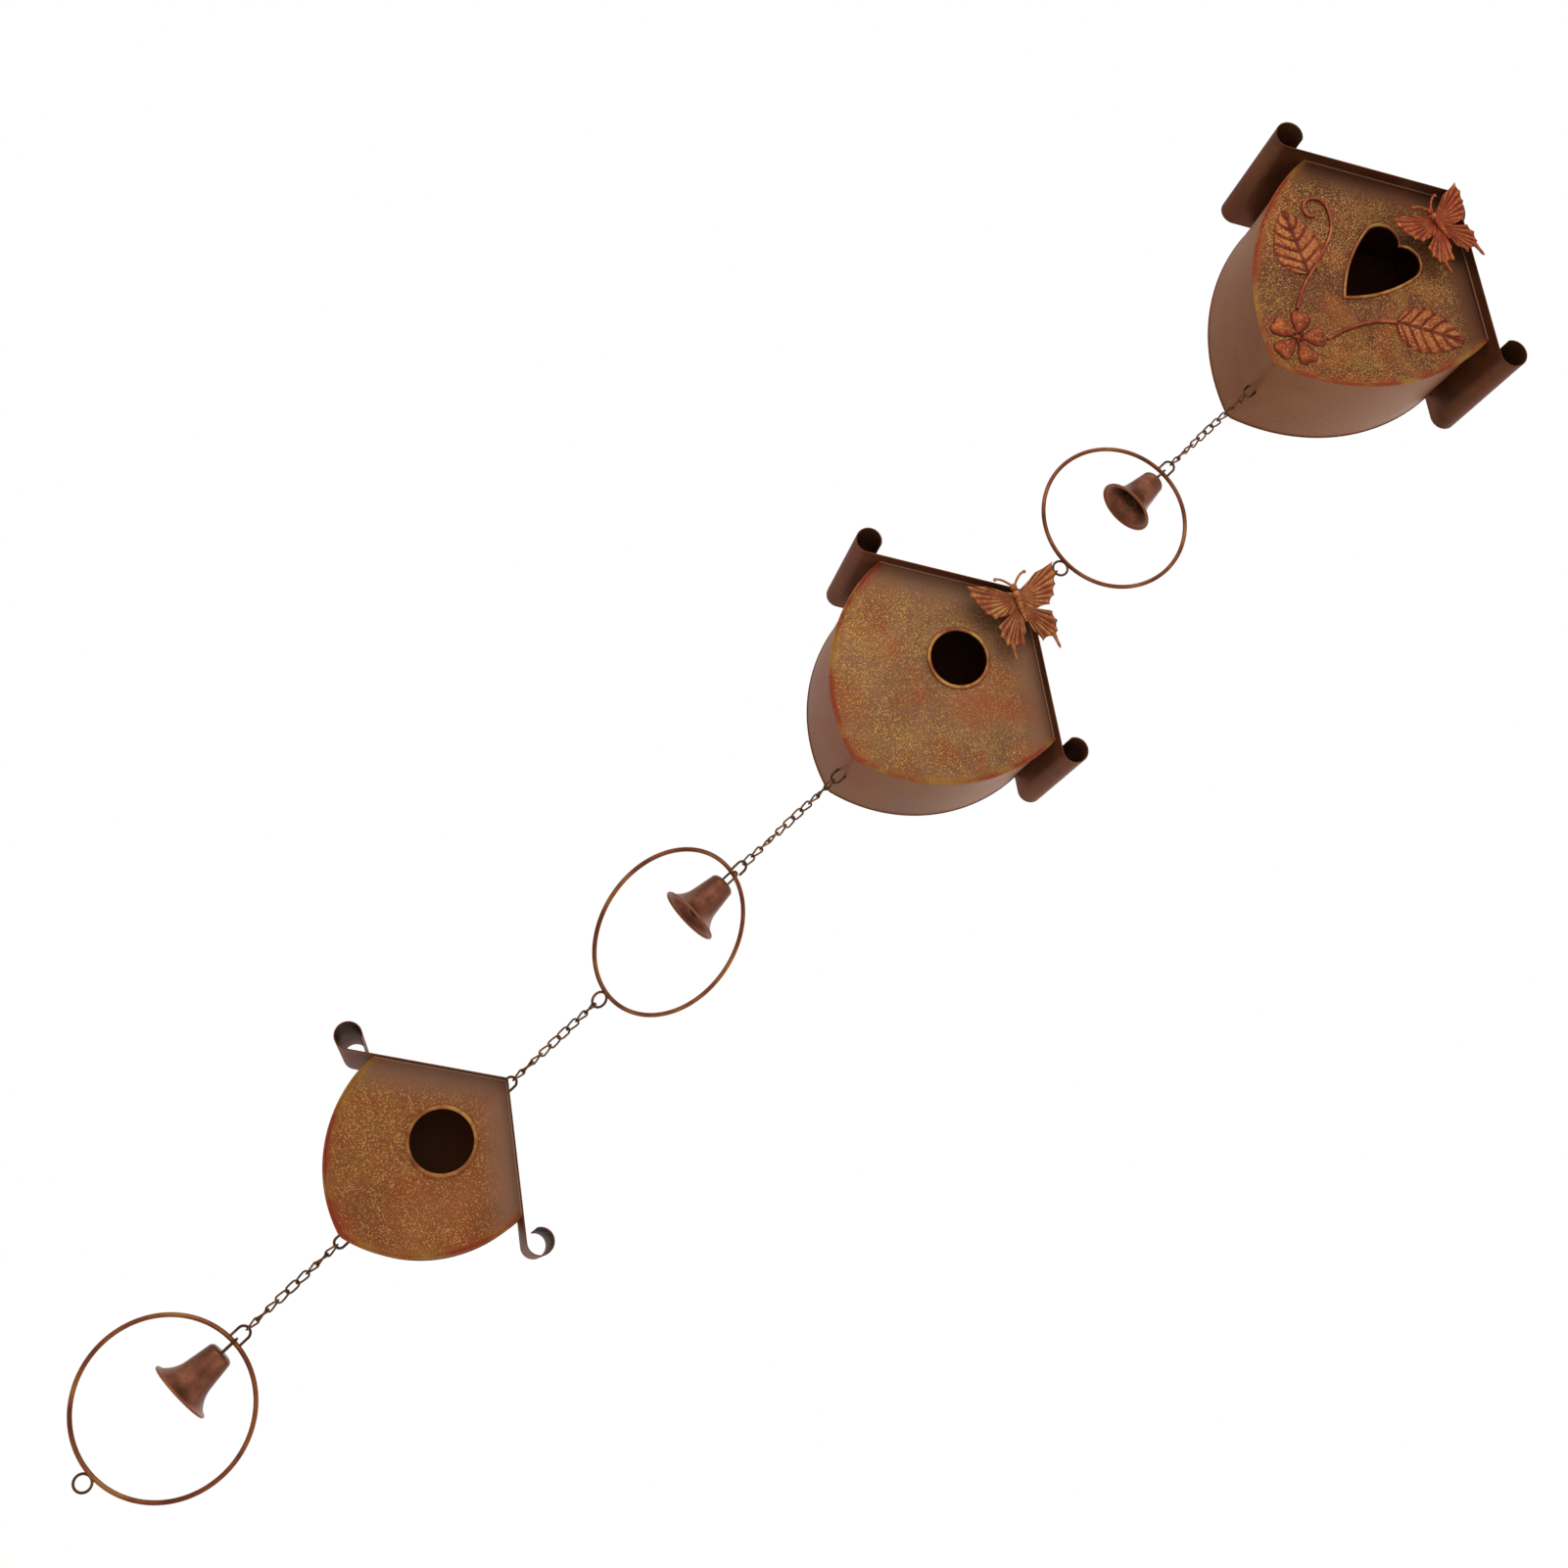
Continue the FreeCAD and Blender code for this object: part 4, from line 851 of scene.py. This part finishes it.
def rolled_foot(house, half_width, drop, eave, face, material):
    """The front's lower edge, rolled over into a narrow bead."""
    side = side_arc(half_width, drop)
    side_centre = Vector((half_width - side, 0))
    tip_centre = Vector((0, TIP_RADIUS - drop))
    meet = math.atan2(tip_centre.y - side_centre.y, tip_centre.x - side_centre.x)
    right = []
    for step in range(FOOT_SIDE_STEPS):
        angle = meet * step / FOOT_SIDE_STEPS
        right.append(side_centre + Vector((math.cos(angle), math.sin(angle))) * side)
    for step in range(FOOT_TIP_STEPS + 1):
        angle = meet + (-math.pi / 2 - meet) * step / FOOT_TIP_STEPS
        right.append(tip_centre + Vector((math.cos(angle), math.sin(angle))) * TIP_RADIUS)
    outline = right + [Vector((-spot.x, spot.y)) for spot in reversed(right[:-1])]
    path = [Vector((spot.x * MM, face - SOLDER_GAP * MM, eave + spot.y * MM)) for spot in outline]
    relief = Relief()
    relief.tube(path, [FOOT_BEAD * MM] * len(path), 0.6)
    mesh_piece(house + "_rolled_foot", relief, material, house)


def link_run(run, part, first_index, count, first_yaw, step, top, material):
    """The links of one half of a run, each a twisted loop of round wire, as one piece."""
    settings = bpy.context.scene.rain_chain
    straight = settings.half_length - settings.half_width
    pitch = 2 * settings.half_length - 2 * settings.wire_radius - settings.gap
    flat = []
    for end in (1, -1):
        for index in range(LINK_ARC_STEPS + 1):
            angle = (0.0 if end > 0 else -math.pi) + math.pi * index / LINK_ARC_STEPS
            rise = end * straight + settings.half_width * math.sin(angle)
            flat.append((settings.half_width * math.cos(angle), rise))
        for index in (1, 2, 3):
            flat.append((-end * settings.half_width, end * straight * (1 - index / 2)))
    relief = Relief()
    sides = LINK_SIDES
    for index in range(count):
        yaw = math.radians(first_yaw + (first_index + index) * step)
        centre = top - settings.wire_radius - settings.half_length - (first_index + index) * pitch
        path = []
        for x, z in flat:
            turn = yaw + settings.twist * z / settings.half_length
            path.append(Vector((x * math.cos(turn), x * math.sin(turn), z)))
        rows = []
        for spot, point in enumerate(path):
            ahead = (path[(spot + 1) % len(path)] - path[spot - 1]).normalized()
            outward = point - ahead * point.dot(ahead)
            outward.normalize()
            across = ahead.cross(outward)
            rows.append([
                point + Vector((0, 0, centre))
                + (outward * math.cos(2 * math.pi * side / sides) + across * math.sin(2 * math.pi * side / sides))
                * settings.wire_radius for side in range(sides)
            ])
        relief.grid(rows + rows[:1], [[0.6] * sides for _ in range(len(rows) + 1)], closed=True)
    name = run + "_" + part
    mesh_piece(name + "_links", relief, material, name, name)


class RAINCHAIN_OT_houses(bpy.types.Operator):
    """Finish the fronts, walls, backs and roofs of the three houses"""

    bl_idname = "rainchain.houses"
    bl_label = "Houses"

    def execute(self, context):
        wall = satin_sheet(
            "Oxidised copper wall, rolled satin", "#714429", "#7b4d2f", "#845737", "#7c4028", 0.54, 0.5, 46.0
        )
        roof = satin_sheet(
            "Dark oxidised copper roof, rolled satin", "#4e2c19", "#5f3a24", "#6f4730", "#632d1c", 0.5, 0.5,
            glance="#c4936f",
        )
        eye = flamed_wire("Dark bronze wire, drawn", *EYE_WIRE)
        rim = flamed_wire("Copper rim, half round", "#6d3820", "#8c552c", "#ab7b40", 11.0, 0.38, 0.7)
        for house, (half_width, gable, drop) in HOUSES.items():
            front = stippled_copper_front(house, half_width, gable, drop)
            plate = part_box(house + "_front_plate")
            eave = plate[1].z - gable * MM
            face = plate[1].y - SHEET * MM
            dress(house + "_front_plate", front)
            rolled_foot(house, half_width, drop, eave, face, front)
            dress(house + "_back_plate", wall)
            dress(house + "_side_wrap", wall)
            dress(house + "_roof", roof)
            dress(house + "_bottom_eye", eye)
            if house + "_top_eye" in NODES:
                dress(house + "_top_eye", eye)
                dress(house + "_rim", rim)
            else:
                heart_rim_piece(eave, face, rim)
        dress("hanging_loop", eye)
        return {"FINISHED"}


class RAINCHAIN_OT_ornaments(bpy.types.Operator):
    """Model the butterflies, leaves and flower in relief and finish the vines"""

    bl_idname = "rainchain.ornaments"
    bl_label = "Ornaments"

    def execute(self, context):
        casting = flamed_casting("Flamed copper casting, left dark", "#662512", "#7d3219", "#954b25")
        bright = flamed_casting("Flamed copper casting, brushed back", "#7a2d15", "#913b1d", "#a45429")
        golden = flamed_casting("Flamed copper casting, rubbed golden", "#7e3b1f", "#914f2c", "#a56e40")
        vine = flamed_wire("Flamed copper vine, drawn", "#75301f", "#8f4029", "#aa6238", 9.0, 0.42, 0.6)
        dress("vine_left", vine)
        dress("vine_right", vine)
        for (house, (side, below, turn)), metal in zip(BUTTERFLIES.items(), (bright, golden)):
            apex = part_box(house + "_front_plate")[1].z
            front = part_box(house + "_roof")[0].y
            centre = Vector((side * MM, front - SOLDER_GAP * MM, apex - below * MM))
            butterfly_piece(house + "_butterfly", centre, turn, metal, house)
        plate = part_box("house_1_front_plate")
        eave = plate[1].z - HOUSES["house_1"][1] * MM
        front = plate[1].y - SHEET * MM
        for name, (x, z, turn) in LEAVES.items():
            leaf_piece(name, Vector((x * MM, front, eave + z * MM)), turn, casting, "house_1")
        flower_piece("flower", Vector((FLOWER[0] * MM, front, eave + FLOWER[1] * MM)), casting, "house_1")
        return {"FINISHED"}


class RAINCHAIN_OT_chains(bpy.types.Operator):
    """Bend every curb link from round wire"""

    bl_idname = "rainchain.chains"
    bl_label = "Chains"

    def execute(self, context):
        bronze = flamed_wire("Dark bronze chain, tumbled", "#452614", "#5c371c", "#7e532c", 5.0, 0.42, 0.7)
        twist = math.degrees(context.scene.rain_chain.twist)
        for run, (links, above, below, turns) in RUNS.items():
            first = above + 90.0 - twist
            step = (below + 90.0 + twist + 180.0 * turns - first) / (links - 1)
            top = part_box(run + "_upper")[1].z
            link_run(run, "upper", 0, UPPER_LINKS, first, step, top, bronze)
            link_run(run, "lower", UPPER_LINKS, links - UPPER_LINKS, first, step, top, bronze)
        return {"FINISHED"}


class RAINCHAIN_OT_hoops(bpy.types.Operator):
    """Finish the hoops and their eyes"""

    bl_idname = "rainchain.hoops"
    bl_label = "Hoops"

    def execute(self, context):
        hoop = flamed_wire("Flamed copper hoop, drawn", "#552717", "#743c21", "#8c5a2d", 22.0, 0.36, 0.75)
        eye = flamed_wire("Dark bronze hoop eye, drawn", *EYE_WIRE)
        for number in (1, 2, 3):
            dress("hoop_%d" % number, hoop)
            dress("hoop_%d_top_eye" % number, eye)
            dress("hoop_%d_bottom_eye" % number, eye)
        return {"FINISHED"}


class RAINCHAIN_OT_bells(bpy.types.Operator):
    """Finish the bells, their bails and their clappers"""

    bl_idname = "rainchain.bells"
    bl_label = "Bells"

    def execute(self, context):
        shell = spun_copper_bell("Spun flamed copper bell")
        bail = flamed_wire("Dark bronze bail, drawn", *EYE_WIRE)
        tag = satin_sheet("Bronze clapper, stamped", "#5a3c2a", "#704c34", "#8a6242", "#6b3a24", 0.42, 0.5, 8.0)
        for number in (1, 2, 3):
            dress("bell_%d_shell" % number, shell)
            dress("bell_%d_bail" % number, bail)
            dress("bell_%d_clapper" % number, tag)
        return {"FINISHED"}


class RAINCHAIN_OT_stage(bpy.types.Operator):
    """Set the camera, the pale floor, the white surroundings and the studio lamps"""

    bl_idname = "rainchain.stage"
    bl_label = "Stage"

    def execute(self, context):
        scene = context.scene
        settings = scene.rain_stage
        camera_data = bpy.data.cameras.new("Camera")
        camera_data.sensor_width = SENSOR_WIDTH
        camera_data.lens = settings.lens
        camera_data.clip_start = 0.01
        camera = bpy.data.objects.new("Camera", camera_data)
        camera.matrix_world = Matrix.LocRotScale(Vector(settings.camera_place), Euler(settings.camera_turn), None)
        scene.collection.objects.link(camera)
        scene.camera = camera

        # White to the camera and in reflections, a plain level of light for everything else
        world = bpy.data.worlds.new("White studio")
        world.use_nodes = True
        tree = world.node_tree
        tree.nodes.clear()
        strength = node(tree, "ShaderNodeMapRange", {
            "Value": seen_directly(tree), "To Min": ROOM_LIGHT, "To Max": 1.0,
        }).outputs["Result"]
        background = node(tree, "ShaderNodeBackground", {"Color": linear("#ffffff"), "Strength": strength})
        node(tree, "ShaderNodeOutputWorld", {"Surface": background.outputs["Background"]})
        scene.world = world

        # Pale floor under the lowest hoop: lifted to white for the camera and in reflections, shaded by the object
        material, tree = new_material("Pale studio floor, painted")
        strength = node(tree, "ShaderNodeMath", {
            0: seen_directly(tree), 1: FLOOR_LIFT,
        }, operation="MULTIPLY").outputs[0]
        shader = node(tree, "ShaderNodeBsdfDiffuse", {"Color": linear("#e9e7e3")})
        glow = node(tree, "ShaderNodeEmission", {"Color": linear("#ffffff"), "Strength": strength})
        mixed = node(tree, "ShaderNodeAddShader", {0: shader.outputs["BSDF"], 1: glow.outputs["Emission"]})
        node(tree, "ShaderNodeOutputMaterial", {"Surface": mixed.outputs["Shader"]})
        half = FLOOR_HALF_SIZE
        level = CAD_BOX[0][2] - settings.floor_drop
        mesh = bpy.data.meshes.new("floor")
        corners = [(-half, -half, level), (half, -half, level), (half, half, level), (-half, half, level)]
        mesh.from_pydata(corners, [], [(0, 1, 2, 3)])
        mesh.materials.append(material)
        floor = bpy.data.objects.new("floor", mesh)
        scene.collection.objects.link(floor)

        for name, (place, target, size, power) in LAMPS.items():
            light = bpy.data.lights.new(name, "AREA")
            light.size = size
            light.energy = power
            lamp = bpy.data.objects.new(name, light)
            lamp.location = place
            lamp.rotation_euler = (Vector(target) - Vector(place)).to_track_quat("-Z", "Y").to_euler()
            scene.collection.objects.link(lamp)
        scene.view_settings.view_transform = "Standard"
        return {"FINISHED"}


class RAINCHAIN_PT_panel(bpy.types.Panel):
    """The rain chain's pieces, in the order they are made"""

    bl_label = "Rain Chain"
    bl_idname = "RAINCHAIN_PT_panel"
    bl_space_type = "VIEW_3D"
    bl_region_type = "UI"
    bl_category = "Rain Chain"

    def draw(self, context):
        layout = self.layout
        for operator in OPERATORS:
            layout.operator(operator.bl_idname)
        for group in GROUPS:
            box = layout.box()
            settings = getattr(context.scene, group)
            for name in settings.bl_rna.properties.keys():
                if name not in ("rna_type", "name"):
                    box.prop(settings, name)


GROUPS = {
    "rain_houses": HouseSettings,
    "rain_ornaments": OrnamentSettings,
    "rain_chain": ChainSettings,
    "rain_stage": StageSettings,
}
OPERATORS = (
    RAINCHAIN_OT_houses, RAINCHAIN_OT_ornaments, RAINCHAIN_OT_chains, RAINCHAIN_OT_hoops, RAINCHAIN_OT_bells,
    RAINCHAIN_OT_stage,
)


def register():
    for group, settings in GROUPS.items():
        bpy.utils.register_class(settings)
        setattr(bpy.types.Scene, group, PointerProperty(type=settings))
    for operator in OPERATORS:
        bpy.utils.register_class(operator)
    bpy.utils.register_class(RAINCHAIN_PT_panel)


def unregister():
    bpy.utils.unregister_class(RAINCHAIN_PT_panel)
    for operator in reversed(OPERATORS):
        bpy.utils.unregister_class(operator)
    for group, settings in GROUPS.items():
        delattr(bpy.types.Scene, group)
        bpy.utils.unregister_class(settings)


def main():
    register()
    bpy.ops.rainchain.houses()
    bpy.ops.rainchain.ornaments()
    bpy.ops.rainchain.chains()
    bpy.ops.rainchain.hoops()
    bpy.ops.rainchain.bells()
    bpy.ops.rainchain.stage()


if __name__ == "__main__":
    main()
